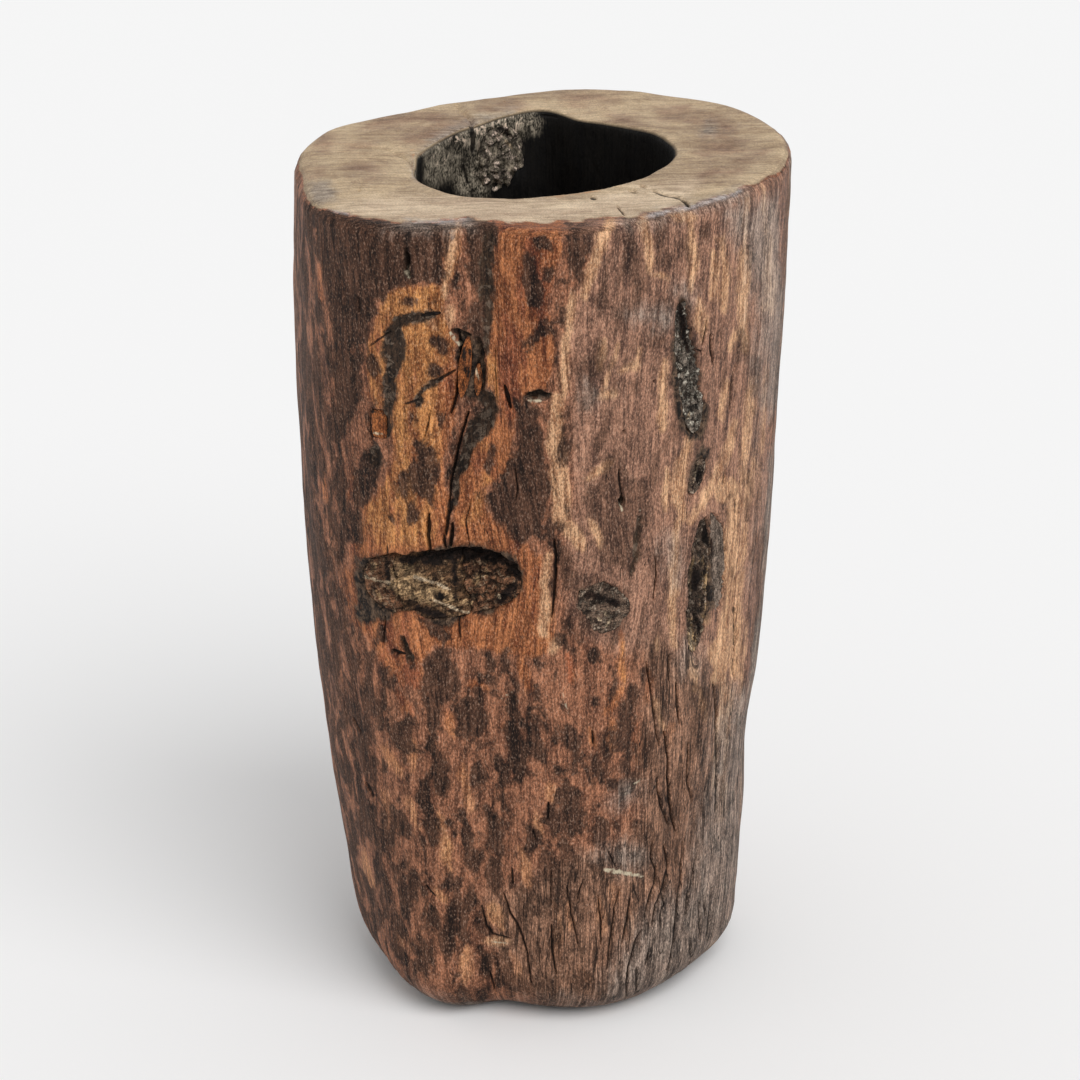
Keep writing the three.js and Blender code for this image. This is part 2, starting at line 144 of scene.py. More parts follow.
# %% [markdown]
# Two kinds of mark are enough. A stroke is a line of some width, for cracks, cuts and blotches. An area
# is a closed outline, for bare wood and stained skin. Both give a distance from their edge in pixels,
# above zero inside, so that a material can later draw the edge as sharp or as ragged as it likes.

# %% Strokes and areas
FAR = -60.0
TINY = 1e-9
END_WIDTH, END_GAIN, END_CURVE = 0.55, 0.45, 0.6


def stroke_depth(pixels, stroke):
    """How far inside a stroke (width, x, y, x, y, ...) each pixel lies. Its ends are thinner."""
    line = np.array(stroke[1:], float).reshape(-1, 2)
    if len(line) == 1:
        line = np.repeat(line, 2, axis=0)
    half = stroke[0] / 2
    best = np.full(len(pixels), FAR)
    low, high = line.min(axis=0) + FAR / 2, line.max(axis=0) - FAR / 2
    near = np.all((pixels > low) & (pixels < high), axis=1)
    spots = pixels[near]
    found = best[near]
    pieces = len(line) - 1
    for step in range(pieces):
        start, along = line[step], line[step + 1] - line[step]
        share = np.clip((spots - start) @ along / max(along @ along, TINY), 0, 1)
        gap = np.linalg.norm(spots - start - share[:, None] * along, axis=1)
        place = (step + share) / pieces
        width = half * (END_WIDTH + END_GAIN * np.sin(np.pi * np.clip(place, 0, 1)) ** END_CURVE)
        found = np.maximum(found, width - gap)
    best[near] = found
    return best


def area_depth(pixels, outline):
    """How far inside a closed outline (x, y, x, y, ...) each pixel lies."""
    corners = np.array(outline, float).reshape(-1, 2)
    x, y = pixels.T
    inside = np.zeros(len(pixels), bool)
    gap = np.full(len(pixels), -FAR)
    for start, end in zip(corners, np.roll(corners, -1, axis=0)):
        along = end - start
        share = np.clip(((pixels - start) @ along) / max(along @ along, TINY), 0, 1)
        gap = np.minimum(gap, np.linalg.norm(pixels - start - share[:, None] * along, axis=1))
        rise = end[1] - start[1]
        if abs(rise) > TINY:
            crosses = (start[1] > y) != (end[1] > y)
            inside ^= crosses & (x < start[0] + (y - start[1]) / rise * along[0])
    return np.where(inside, gap, -gap)


def deepest(pixels, strokes=(), areas=()):
    """The deepest place of each pixel in any of the marks."""
    best = np.full(len(pixels), FAR)
    for stroke in strokes:
        best = np.maximum(best, stroke_depth(pixels, stroke))
    for outline in areas:
        best = np.maximum(best, area_depth(pixels, outline))
    return best


def soft_step(low, high, value):
    t = np.clip((value - low) / (high - low), 0, 1)
    return t * t * (3 - 2 * t)


print("a stroke 4 wide reaches", stroke_depth(np.array([[5.0, 0.0]]), (4, 0, 0, 10, 0)), "at its middle")

# %% [markdown]
# These are the marks, read off the photograph in pixels. Bare golden wood shows where the skin has been
# rubbed or cut away. Dark stains run from long patches near the rim to spots like a leopard's below.
# Pale bands are sapwood and worn edges.

# %% Marks of colour on the front of the wall
BARE_AREAS = [
    (442, 284, 405, 286, 386, 295, 376, 318, 369, 345, 368, 390, 374, 406, 388, 420, 392, 450, 385, 480,
     380, 495, 362, 508, 358, 535, 350, 548, 352, 560, 425, 558, 450, 545, 448, 520, 442, 470, 452, 430,
     458, 400, 456, 350, 446, 320),
    (456, 540, 452, 500, 462, 458, 480, 430, 500, 412, 512, 430, 508, 470, 484, 488, 488, 512, 520, 540,
     545, 560, 556, 640, 535, 660, 510, 655, 480, 650, 455, 648, 432, 642, 418, 662, 422, 690, 400, 682,
     376, 662, 372, 640, 352, 620, 348, 575, 356, 560, 420, 558),
    (497, 212, 560, 212, 562, 250, 545, 300, 555, 340, 548, 388, 520, 402, 512, 430, 497, 400, 484, 372,
     484, 345, 493, 300),
    (446, 212, 462, 212, 456, 262, 448, 292, 440, 290, 446, 262, 436, 250),
]
BARE_STROKES = [
    (7, 322, 262, 320, 300), (12, 342, 282, 341, 306), (8, 345, 335, 339, 350, 338, 395),
    (6, 350, 470, 352, 500), (6, 322, 480, 326, 500), (7, 346, 565, 350, 610), (6, 365, 240, 366, 255),
    (6, 385, 245, 398, 238), (10, 465, 780, 471, 808), (12, 460, 765, 466, 780), (10, 548, 785, 552, 800),
    (18, 492, 908, 500, 925), (10, 466, 948, 466, 985), (10, 510, 955, 520, 975), (8, 555, 905, 562, 960),
    (10, 445, 835, 448, 870), (9, 438, 812, 442, 830), (8, 432, 888, 446, 900), (9, 522, 850, 528, 885),
    (7, 622, 635, 622, 680), (9, 620, 690, 608, 712), (7, 652, 672, 646, 700), (9, 634, 725, 640, 760),
    (7, 671, 725, 668, 745), (8, 612, 720, 612, 750), (8, 568, 655, 572, 680), (8, 590, 730, 596, 750),
    (8, 538, 815, 540, 835), (9, 566, 900, 572, 930), (8, 600, 900, 604, 930), (6, 580, 970, 592, 985),
    (8, 615, 885, 610, 905), (6, 630, 915, 628, 935), (6, 650, 905, 648, 925), (6, 682, 870, 678, 895),
    (7, 398, 935, 408, 948), (9, 384, 745, 400, 775), (8, 412, 740, 412, 770), (8, 408, 800, 418, 830),
    (7, 362, 850, 372, 885), (9, 520, 660, 528, 690), (9, 396, 690, 412, 712), (9, 446, 712, 456, 735),
    (8, 470, 682, 488, 690), (6, 505, 730, 500, 722), (7, 385, 790, 388, 830),
]
GOLD_AREAS = [
    (384, 292, 420, 286, 442, 284, 452, 300, 450, 350, 440, 400, 436, 470, 430, 545, 384, 545, 366, 520,
     380, 490, 394, 440, 372, 395, 366, 345),
]
GOLD_STROKES = [
    (10, 457, 214, 450, 290), (16, 492, 905, 502, 930), (8, 470, 410, 480, 450), (7, 556, 905, 562, 940),
    (6, 446, 835, 448, 860), (7, 622, 640, 622, 680), (8, 380, 300, 392, 290), (13, 446, 296, 454, 322),
    (12, 458, 322, 470, 318, 474, 330), (7, 489, 352, 492, 380, 494, 404),
    (8, 470, 520, 480, 500, 486, 480),
]
MAUVE_AREAS = [
    (568, 208, 690, 190, 765, 165, 800, 150, 800, 400, 770, 560, 745, 720, 700, 700, 660, 655, 620, 650,
     590, 640, 566, 600, 572, 520, 570, 420, 566, 330, 590, 262),
]
PALE_STROKES = [
    (9, 458, 216, 456, 234, 450, 256, 447, 276, 444, 294), (7, 452, 305, 449, 325),
    (9, 428, 312, 436, 330), (19, 556, 398, 556, 440, 559, 480, 563, 520, 580, 545),
    (11, 548, 556, 546, 600, 544, 636), (9, 573, 292, 566, 340, 562, 398),
    (12, 612, 212, 608, 226, 600, 246, 592, 268, 584, 298), (10, 640, 208, 642, 222, 648, 244, 650, 272),
    (14, 672, 212, 692, 218), (6, 652, 275, 668, 278), (6, 714, 252, 716, 275, 713, 300),
    (6, 706, 318, 702, 340), (4, 745, 196, 745, 240, 746, 290),
    (5, 762, 185, 766, 230, 768, 270, 763, 310), (16, 780, 240, 776, 300, 778, 350),
    (8, 770, 360, 766, 410, 764, 450), (8, 724, 466, 711, 490, 700, 506, 690, 522),
    (7, 737, 420, 729, 450, 722, 470), (15, 734, 482, 733, 520, 731, 560, 731, 600),
    (10, 733, 600, 735, 640, 736, 680), (26, 718, 645, 722, 668), (12, 722, 670, 726, 702, 718, 730),
    (8, 677, 521, 674, 560, 673, 600, 674, 645), (9, 664, 360, 664, 400, 662, 430),
    (12, 689, 440, 681, 470, 677, 500, 682, 518), (5, 618, 345, 608, 380, 600, 400),
    (6, 655, 700, 664, 730), (7, 702, 610, 706, 622), (5, 760, 440, 756, 470, 752, 500),
    (7, 745, 460, 742, 540, 738, 620), (6, 716, 730, 714, 790), (9, 590, 520, 600, 545),
    (9, 560, 640, 552, 650), (10, 600, 398, 616, 392), (6, 657, 640, 658, 650), (7, 585, 480, 612, 462),
    (8, 700, 300, 698, 330), (10, 488, 940, 506, 942), (5, 736, 330, 730, 350), (7, 768, 470, 764, 520),
    (5, 700, 690, 706, 720), (8, 728, 380, 722, 420), (6, 604, 338, 600, 370), (5, 640, 350, 636, 372),
    (5, 622, 372, 634, 362), (16, 724, 480, 722, 500), (12, 745, 250, 742, 300, 744, 350),
    (9, 752, 380, 748, 430, 742, 470), (12, 728, 600, 722, 640, 716, 680),
    (8, 748, 620, 744, 680, 740, 740), (8, 690, 224, 694, 260, 690, 290),
    (9, 722, 236, 726, 280, 722, 310), (8, 690, 660, 696, 690), (7, 668, 470, 666, 510),
    (7, 726, 700, 726, 760, 722, 820),
]
DARK_AREAS = [
    (300, 198, 350, 212, 400, 218, 458, 214, 452, 246, 440, 262, 438, 282, 406, 284, 384, 294, 373, 318,
     366, 345, 364, 398, 350, 422, 344, 470, 350, 505, 346, 560, 336, 520, 332, 400, 330, 300),
    (463, 212, 498, 212, 495, 262, 493, 300, 491, 338, 482, 357, 470, 336, 472, 300, 466, 262),
    (512, 402, 536, 402, 544, 440, 548, 500, 545, 538, 520, 545, 506, 522, 484, 506, 478, 492, 500, 482,
     508, 455, 512, 430),
    (360, 450, 378, 440, 386, 465, 380, 492, 362, 505, 352, 482),
    (415, 440, 432, 450, 441, 475, 436, 505, 425, 500, 414, 484),
    (617, 235, 638, 240, 646, 265, 650, 290, 632, 292, 624, 262),
    (617, 450, 625, 470, 655, 480, 650, 520, 628, 558, 612, 576, 600, 556, 590, 512, 580, 502, 600, 476),
    (572, 574, 600, 574, 630, 590, 632, 612, 616, 640, 590, 632, 572, 606),
    (420, 664, 430, 649, 450, 648, 458, 668, 464, 683, 450, 700, 436, 706, 428, 690),
    (450, 705, 458, 697, 485, 696, 492, 712, 490, 732, 470, 742, 456, 730),
    (650, 645, 668, 645, 668, 700, 662, 722, 652, 715, 654, 690),
    (595, 430, 612, 420, 606, 445, 596, 452),
]
DARK_STROKES = [
    (14, 390, 516, 392, 520), (18, 412, 510, 411, 524), (9, 402, 480, 400, 500), (8, 385, 500, 392, 506),
    (7, 500, 438, 491, 454, 487, 470, 496, 487), (15, 340, 470, 342, 520, 341, 560),
    (9, 356, 525, 360, 540), (10, 350, 345, 352, 365), (16, 430, 342, 436, 346), (10, 430, 366, 434, 370),
    (9, 404, 303, 414, 303), (6, 426, 301, 436, 302), (6, 375, 358, 376, 368), (8, 414, 412, 413, 422),
    (5, 440, 418, 440, 424), (10, 447, 298, 450, 300), (8, 456, 286, 460, 290),
    (17, 584, 216, 582, 234, 573, 256, 578, 276, 574, 294), (11, 612, 250, 608, 272, 604, 292),
    (9, 601, 268, 600, 285), (17, 662, 208, 658, 262), (20, 704, 226, 708, 240), (14, 545, 268, 548, 276),
    (18, 528, 262, 534, 300), (10, 535, 242, 548, 246), (13, 552, 322, 540, 330, 528, 346),
    (9, 563, 310, 562, 325), (10, 684, 300, 686, 330), (9, 640, 516, 635, 545, 631, 578),
    (12, 647, 486, 645, 500), (12, 562, 522, 560, 534), (10, 566, 550, 566, 590),
    (13, 600, 340, 594, 372), (14, 590, 355, 580, 385), (12, 604, 300, 600, 312),
    (12, 625, 300, 612, 340), (14, 660, 300, 664, 315), (16, 650, 330, 660, 345), (9, 752, 250, 755, 290),
    (8, 742, 330, 738, 360), (7, 756, 355, 752, 420), (7, 742, 386, 736, 400), (7, 718, 332, 720, 338),
    (9, 755, 500, 752, 560), (8, 748, 470, 746, 520), (14, 620, 380, 614, 390), (14, 592, 384, 588, 408),
    (10, 636, 380, 630, 400), (12, 640, 300, 632, 292), (10, 668, 250, 672, 262), (9, 685, 235, 686, 262),
    (8, 606, 412, 605, 440), (10, 570, 425, 566, 462), (8, 575, 490, 570, 510), (12, 625, 212, 630, 232),
    (14, 353, 626, 357, 640), (8, 404, 640, 407, 662, 412, 668), (6, 404, 656, 392, 650),
    (16, 380, 670, 396, 690), (9, 352, 655, 366, 690, 372, 705), (12, 374, 700, 384, 722),
    (22, 398, 724, 406, 748), (15, 432, 716, 434, 756), (22, 438, 760, 446, 800), (9, 488, 655, 488, 676),
    (9, 506, 650, 506, 676), (20, 513, 696, 514, 728, 520, 760), (13, 354, 760, 366, 790),
    (13, 371, 795, 376, 830), (18, 420, 782, 430, 815, 438, 842), (13, 402, 822, 408, 838),
    (14, 466, 832, 468, 862), (20, 486, 808, 494, 836, 500, 862), (10, 474, 764, 476, 782),
    (15, 500, 758, 506, 786), (14, 376, 836, 384, 852), (10, 436, 632, 444, 632),
    (10, 422, 620, 444, 622), (6, 382, 632, 382, 642), (13, 538, 660, 540, 678),
    (13, 556, 668, 560, 690, 566, 712), (20, 590, 654, 600, 660), (22, 592, 698, 600, 704),
    (11, 613, 664, 611, 688), (10, 639, 644, 634, 672), (20, 634, 688, 626, 722, 626, 768),
    (20, 570, 728, 574, 752), (13, 551, 734, 554, 744), (12, 534, 686, 538, 698),
    (18, 516, 742, 520, 780), (16, 538, 742, 544, 760), (24, 566, 784, 576, 822),
    (12, 590, 756, 602, 782), (21, 600, 820, 602, 838), (15, 612, 784, 634, 788),
    (11, 690, 684, 690, 710), (15, 702, 690, 704, 716), (14, 678, 772, 682, 786),
    (13, 648, 730, 650, 762), (8, 690, 716, 690, 730), (8, 704, 780, 702, 812), (20, 528, 822, 532, 846),
    (8, 549, 806, 548, 822), (12, 560, 636, 566, 646), (8, 528, 606, 528, 636), (20, 630, 822, 650, 836),
    (12, 664, 740, 660, 760), (14, 424, 872, 434, 886), (24, 452, 902, 458, 930),
    (20, 446, 930, 448, 964), (14, 432, 906, 436, 924), (12, 394, 850, 398, 880),
    (12, 400, 900, 404, 925), (10, 384, 875, 390, 895), (14, 470, 884, 472, 910),
    (22, 494, 862, 498, 892), (20, 482, 950, 486, 975), (10, 412, 960, 430, 978),
    (10, 508, 870, 512, 888), (16, 545, 850, 548, 880), (22, 565, 845, 575, 875),
    (16, 520, 898, 530, 912), (12, 538, 945, 536, 985), (14, 575, 892, 580, 906),
    (14, 604, 878, 612, 884), (12, 526, 905, 520, 925), (14, 630, 888, 640, 898),
    (10, 618, 846, 612, 866), (24, 520, 985, 560, 992), (20, 570, 975, 600, 990),
    (14, 575, 940, 580, 955), (10, 358, 770, 366, 800), (9, 380, 905, 396, 938), (10, 392, 945, 402, 960),
    (14, 640, 850, 636, 870), (9, 345, 700, 350, 730), (8, 415, 845, 420, 862), (9, 555, 765, 560, 775),
    (10, 448, 820, 455, 835), (12, 595, 770, 590, 790), (12, 650, 850, 656, 880),
    (10, 668, 888, 664, 905), (9, 612, 950, 606, 970), (12, 558, 930, 562, 945), (9, 462, 875, 458, 885),
    (8, 700, 740, 698, 765), (10, 688, 830, 690, 860),
]
GREY_AREAS = [
    (632, 925, 660, 905, 690, 880, 700, 820, 712, 740, 730, 690, 800, 690, 800, 1040, 560, 1040, 600,
     1000, 618, 960),
    (400, 988, 470, 1014, 520, 1008, 600, 1003, 600, 1040, 360, 1040),
    (728, 215, 800, 190, 800, 700, 756, 700, 762, 600, 764, 480, 762, 380, 758, 300, 744, 250),
]
# Smoke stain on the left side of the wall, darkened more there as painted shade of the side turned from the
# light.
SMOKY_AND_SHADED_AREAS = [
    (270, 190, 300, 218, 352, 226, 372, 240, 350, 330, 352, 430, 345, 560, 352, 640, 400, 700, 400, 840,
     430, 960, 330, 960, 270, 700),
]
CRUST_AREAS = [
    (354, 558, 372, 556, 408, 555, 430, 549, 452, 544, 482, 545, 508, 552, 524, 570, 522, 590, 506, 604,
     488, 616, 470, 614, 458, 624, 444, 629, 430, 619, 412, 613, 398, 611, 388, 620, 368, 627, 357, 620,
     354, 590),
    (701, 524, 696, 545, 692, 570, 690, 600, 687, 630, 689, 650, 694, 656, 699, 640, 703, 628, 710, 616,
     716, 600, 718, 570, 716, 540, 710, 524),
    (698, 448, 706, 446, 711, 450, 708, 462, 702, 476, 697, 488, 691, 495, 688, 484, 691, 466),
    (677, 300, 683, 300, 691, 328, 697, 350, 701, 374, 703, 394, 709, 405, 709, 423, 703, 440, 692, 442,
     681, 432, 675, 412, 672, 385, 672, 350, 674, 322),
    (580, 590, 600, 584, 616, 592, 628, 608, 618, 626, 600, 630, 586, 612),
    (455, 331, 470, 333, 482, 345, 484, 372, 480, 392, 470, 398, 459, 392, 458, 360),
]
SPLIT_AREAS = [
    (650, 640, 690, 650, 740, 690, 740, 830, 720, 960, 620, 1010, 540, 1010, 500, 960, 490, 900, 560, 860,
     640, 830, 640, 700),
]
# Grey dust; the long stroke along the rim's front right edge paints a highlight in its colour.
GREY_AND_SHEEN_STROKES = [
    (10, 630, 315, 668, 318), (8, 628, 220, 660, 215, 690, 208, 716, 201, 740, 191),
    (8, 400, 224, 470, 222), (14, 600, 852, 640, 858), (10, 616, 800, 640, 790), (10, 592, 388, 598, 398),
    (12, 668, 540, 676, 580), (9, 682, 290, 690, 300), (9, 694, 645, 690, 670),
]
SCRAPE_STROKES = [
    (5, 604, 869, 612, 871, 622, 873), (3.4, 618, 872, 632, 875, 644, 876),
    (1.6, 622, 796, 632, 785, 641, 780), (1.6, 500, 700, 510, 694, 518, 688), (2, 488, 941, 508, 943),
    (1.4, 562, 690, 566, 706, 570, 716), (2.2, 621, 506, 622, 511), (2.9, 526, 401, 533, 402, 541, 401),
    (4, 450, 333, 454, 340, 459, 346), (1.6, 404, 268, 405, 274, 410, 280),
    (2, 698, 462, 695, 474, 694, 484), (1.6, 640, 508, 641, 511),
]
print(len(DARK_STROKES) + len(DARK_AREAS), "dark marks and", len(PALE_STROKES), "pale ones")

# %% [markdown]
# Cuts, cracks and hollows are marks too, but they also sink into the wood. Each has a depth in
# millimetres, a width and its line. The deepest are three small holes, and the widest
# are flat cuts of a blade, about ten millimetres wide.

# %% Marks that sink into the wall
CARVED = [
    (1.2, 5, 440, 313, 432, 314, 420, 317), (2, 12, 434, 315, 418, 318, 402, 321, 392, 327, 385, 337),
    (0.8, 3, 388, 332, 370, 346), (1.6, 22, 394, 330, 393, 350, 391, 374),
    (1.6, 16, 391, 366, 389, 390, 387, 410), (1.2, 10, 387, 404, 388, 420, 389, 436),
    (1.4, 4, 455, 371, 446, 376, 436, 382), (1.8, 7.5, 441, 379, 430, 386, 420, 395),
    (1.8, 11, 418, 396, 417, 405), (1, 3.5, 417, 400, 404, 404),
    (3.2, 5, 457, 332, 461, 346, 462, 357, 460, 370), (3, 4.4, 460, 364, 458, 382, 456, 396),
    (2.5, 3.8, 456, 392, 454, 404, 450, 414), (3, 9, 453, 331, 462, 334, 470, 338),
    (3, 6, 478, 340, 482, 352, 476, 372), (3, 6, 480, 350, 484, 380, 482, 395),
    (0.8, 9, 490, 233, 490, 270, 488, 310, 485, 352), (0.7, 5.2, 484, 233, 484, 262, 482, 300),
    (1.2, 2, 496, 345, 495, 370, 497, 398), (2.6, 18, 478, 394, 488, 402, 494, 410),
    (2.8, 22, 491, 410, 482, 424, 472, 438), (2.8, 15, 472, 436, 465, 455, 459, 475),
    (2.4, 10, 460, 466, 455, 488, 450, 512), (3.4, 4, 468, 412, 461, 436, 455, 458, 450, 484, 447, 512),
    (2.5, 5, 451, 500, 447, 520, 445, 536), (3, 5, 452, 524, 450, 546),
    (2.5, 5, 428, 514, 427, 536, 430, 552), (1.2, 2.5, 472, 498, 466, 520, 469, 546),
    (2, 4, 443, 536, 446, 548), (7, 6, 406, 250, 406, 264, 407, 276),
    (5, 9, 527, 398, 538, 395, 549, 394), (2.6, 5, 505, 386, 507, 396, 511, 408),
    (2, 2.6, 430, 411, 427, 424, 424, 438), (3.5, 3.4, 554, 540, 556, 560, 556, 580, 554, 600, 551, 618),
    (2, 2.4, 370, 412, 369, 432, 371, 442), (2, 2.2, 369, 411, 380, 410, 388, 412),
    (2, 2.4, 367, 432, 382, 434, 388, 428), (1.6, 12, 374, 446, 376, 466),
    (2.6, 7, 404, 638, 406, 650, 410, 662), (1.4, 4, 404, 655, 392, 650), (1, 3, 386, 546, 387, 560),
    (2, 2.4, 384, 616, 383, 645), (1.6, 3, 459, 612, 460, 640), (2, 3, 619, 470, 620, 484, 622, 498),
    (5, 7, 622, 500, 623, 507), (1.6, 7, 640, 518, 636, 545, 632, 576), (3, 3.6, 602, 381),
    (3.5, 4, 654, 381), (2.5, 3, 666, 409), (3, 3.4, 660, 428), (3.5, 4, 625, 432), (3, 3, 641, 780),
    (3, 3, 632, 703), (2, 2, 515, 468, 518, 490, 516, 500), (2, 2.4, 703, 345, 706, 330, 707, 320),
    (2.4, 2.6, 711, 334, 711, 350, 714, 364), (1.5, 2.6, 696, 349, 703, 352),
    (1.6, 2, 736, 365, 732, 385, 731, 410), (1.5, 2, 696, 466, 698, 480),
    (2, 2.2, 655, 556, 657, 575, 654, 600), (1.6, 2.4, 735, 500, 736, 516),
    (1.6, 2.4, 726, 470, 724, 486), (2.6, 2.6, 736, 575, 735, 610, 735, 680),
    (2.4, 2.4, 647, 662, 651, 690, 654, 720, 658, 745), (2.6, 3, 676, 682, 676, 702, 679, 724),
    (2, 2.4, 669, 655, 669, 680), (2.6, 3, 664, 732, 668, 760, 669, 790, 671, 815, 676, 832),
    (2, 2.4, 657, 778, 661, 805, 668, 824), (2.4, 3, 714, 684, 716, 710, 716, 740, 717, 790, 716, 822),
    (1.8, 2.4, 688, 742, 687, 775, 691, 800),
    (2, 2.6, 653, 842, 652, 858, 657, 872, 655, 886, 648, 905, 645, 918),
    (2.2, 2.8, 666, 846, 669, 868, 664, 888, 656, 906, 652, 926),
    (2, 2.6, 684, 842, 682, 866, 680, 884, 677, 905, 675, 935, 671, 960, 667, 971),
    (2.2, 2.6, 697, 856, 692, 880, 688, 896, 685, 916), (2, 2.4, 705, 896, 705, 916),
    (1.8, 2.6, 712, 888, 709, 925, 708, 946), (2, 2.6, 619, 890, 614, 910, 612, 930, 609, 950, 607, 970),
    (2.2, 2.8, 630, 900, 627, 925, 623, 944),
    (2.2, 2.6, 642, 930, 636, 942, 631, 960, 628, 975, 627, 1000), (1.6, 2.2, 650, 950, 646, 966),
    (1.8, 2.4, 638, 968, 636, 1000), (1.6, 2.2, 660, 880, 664, 905, 660, 925),
    (1.8, 2.4, 699, 900, 700, 940), (1.6, 2.2, 690, 940, 692, 965),
    (2, 2.4, 598, 896, 601, 925, 600, 945), (1.8, 2.4, 567, 886, 571, 912, 578, 944),
    (1.6, 2.4, 584, 880, 577, 900), (2.4, 3, 551, 925, 553, 950, 556, 975),
    (2.4, 3, 504, 893, 511, 914, 520, 930, 526, 948, 532, 985),
    (2, 3, 482, 906, 486, 926, 492, 934, 500, 936, 510, 938), (2, 3, 490, 972, 494, 990),
    (1.6, 2.4, 551, 870, 551, 905), (1.8, 3, 549, 803, 547, 820), (1.6, 2.4, 533, 830, 536, 840),
    (1.6, 3, 512, 868, 513, 884), (1.4, 3, 426, 886, 436, 896), (2, 3, 592, 730, 594, 745),
    (1.4, 2, 606, 845, 613, 862, 616, 868), (1.6, 3, 358, 296, 359, 312), (1.6, 3, 366, 782, 373, 796),
    (1.4, 2.4, 352, 718, 360, 732),
]
RIM_CRACKS = [
    (3.2, 350, 145, 385, 150, 402, 156, 412, 164, 415, 174), (4, 456, 105, 462, 110, 467, 116, 470, 122),
    (6, 467, 115, 471, 122, 472, 134), (3.4, 590, 196, 596, 198), (4.4, 630, 190, 637, 191),
    (3.2, 653, 190, 660, 193, 668, 195), (3, 666, 195, 674, 196, 681, 198),
    (4, 680, 198, 685, 201, 690, 206), (4.5, 359, 190), (4, 504, 102), (2.6, 617, 206, 624, 215),
    (2.4, 640, 186, 646, 187),
]
# Painted highlights along the rim's front edge.
SHEEN_STROKES = [
    (4, 646, 217, 660, 214, 672, 210), (5, 674, 211, 688, 207, 702, 203),
    (4.4, 704, 203, 720, 198, 740, 191), (3, 404, 220, 440, 222, 470, 221), (2.4, 330, 210, 352, 215),
]
THIN_CRACK = 5
THIN_CRACKS = [stroke[1:] for stroke in CARVED if stroke[1] <= THIN_CRACK]
WIDE_CUTS = [stroke[1:] for stroke in CARVED if stroke[1] > THIN_CRACK]
print(len(CARVED), "cuts, cracks and holes on the front")

# %% [markdown]
# The pieces held in the wall are named once, with the same places as in the CAD: the azimuth and depth
# below the rim of their middle, their width and height, how far they lean, and how far their face lies
# below the wall. The pot needs these places too, because it has a pocket for each piece. Where the wall
# has grown over part of a pocket, the opening that still shows is an outline read off the photograph.

# %% Pieces held in the wall
HELD = {
    "front_knot": dict(azimuth=-116, down=183, width=82, tall=36, lean=-8, depth=22, sink=0.8, overhang=7),
    "right_knot_core": dict(azimuth=-44.5, down=196, width=15, tall=74, lean=0, depth=18, sink=0.8,
                            overhang=2),
    "right_knot_bark": dict(azimuth=-36.6, down=187, width=11, tall=70, lean=-9, depth=12, sink=0.6,
                            overhang=1),
    "right_small_knot": dict(azimuth=-47.5, down=137, width=9, tall=18, lean=21, depth=9, sink=0.6,
                             overhang=0.5),
    "ingrown_bark": dict(azimuth=-52.4, down=79, width=15, tall=72, lean=-11, depth=10, sink=0.7, overhang=0),
    "centre_knot": dict(azimuth=-75, down=193, width=29, tall=29, lean=0, depth=12, sink=0.35, overhang=1),
    "loose_chip": dict(azimuth=-126.7, down=102, width=8, tall=14, lean=2, depth=7, sink=0.4, overhang=0,
                       power=6),
    "fissure_splinter": dict(azimuth=-107.7, down=70, width=5.5, tall=32, lean=7, depth=6, sink=-0.8,
                             overhang=0, power=1.6),
    "fissure_shard": dict(azimuth=-105.0, down=76.5, width=3.6, tall=17, lean=3, depth=4, sink=0.2,
                          overhang=0, power=1.6),
    "inner_rot": dict(azimuth=109, down=24, width=30, tall=38, lean=6, depth=9, sink=0.3, overhang=0,
                      inside=True),
}
OUTLINE_POWER = 2.3
OPENINGS = {
    "front_knot": (
        348, 560, 372, 556, 408, 555, 430, 548, 452, 543, 482, 544, 508, 551, 526, 570, 524, 590, 508, 604,
        490, 617, 470, 614, 458, 624, 444, 629, 430, 619, 412, 613, 398, 611, 388, 620, 368, 630, 346, 626),
    "right_knot_core": (
        712, 514, 720, 518, 726, 540, 726, 570, 722, 600, 714, 616, 704, 630, 699, 650, 693, 662, 687, 654,
        686, 630, 689, 600, 690, 572, 694, 544, 700, 522),
    "ingrown_bark": (
        676, 292, 683, 298, 690, 326, 696, 350, 700, 374, 702, 394, 708, 405, 708, 422, 702, 440, 690, 440,
        681, 430, 675, 410, 672, 385, 672, 350, 674, 325),
    "centre_knot": (
        578, 592, 590, 586, 604, 582, 618, 590, 630, 602, 630, 614, 622, 620, 618, 630, 602, 634, 592, 626,
        586, 614, 578, 606),
    "inner_rot": (
        476, 140, 486, 130, 500, 127, 514, 129, 525, 140, 520, 152, 525, 164, 514, 172, 508, 184, 496, 176,
        488, 186, 478, 176, 482, 162, 473, 154),
}
OPENINGS["right_knot_bark"] = OPENINGS["right_knot_core"]
OPEN_SOFTNESS = 1.2
FACING_AWAY = 1e3
print("places for", len(HELD), "held pieces, the large one being", HELD["front_knot"]["width"], "mm wide")


# %% Outlines of the held pieces on the wall
def opened(name, pixels, low=-OPEN_SOFTNESS, high=OPEN_SOFTNESS):
    """One where the wall is open over a piece, zero where it has grown over it."""
    if name not in OPENINGS:
        return np.ones(len(pixels))
    return soft_step(low, high, area_depth(pixels, OPENINGS[name]))


def spot_on_piece(piece, azimuth, z):
    """Across, upward and height of a point of the wall, seen square to the middle of a held piece."""
    radius = (cavity_radius if piece.get("inside") else wall_radius)(azimuth, z)
    turn = np.radians(azimuth - piece["azimuth"])
    facing = -1 if piece.get("inside") else 1
    u = np.where(np.cos(turn) > 0.3, facing * radius * np.sin(turn), FACING_AWAY)
    v = z - (POT_HEIGHT - piece["down"])
    lean = math.radians(piece["lean"])
    return u * math.cos(lean) - v * math.sin(lean), u * math.sin(lean) + v * math.cos(lean), v


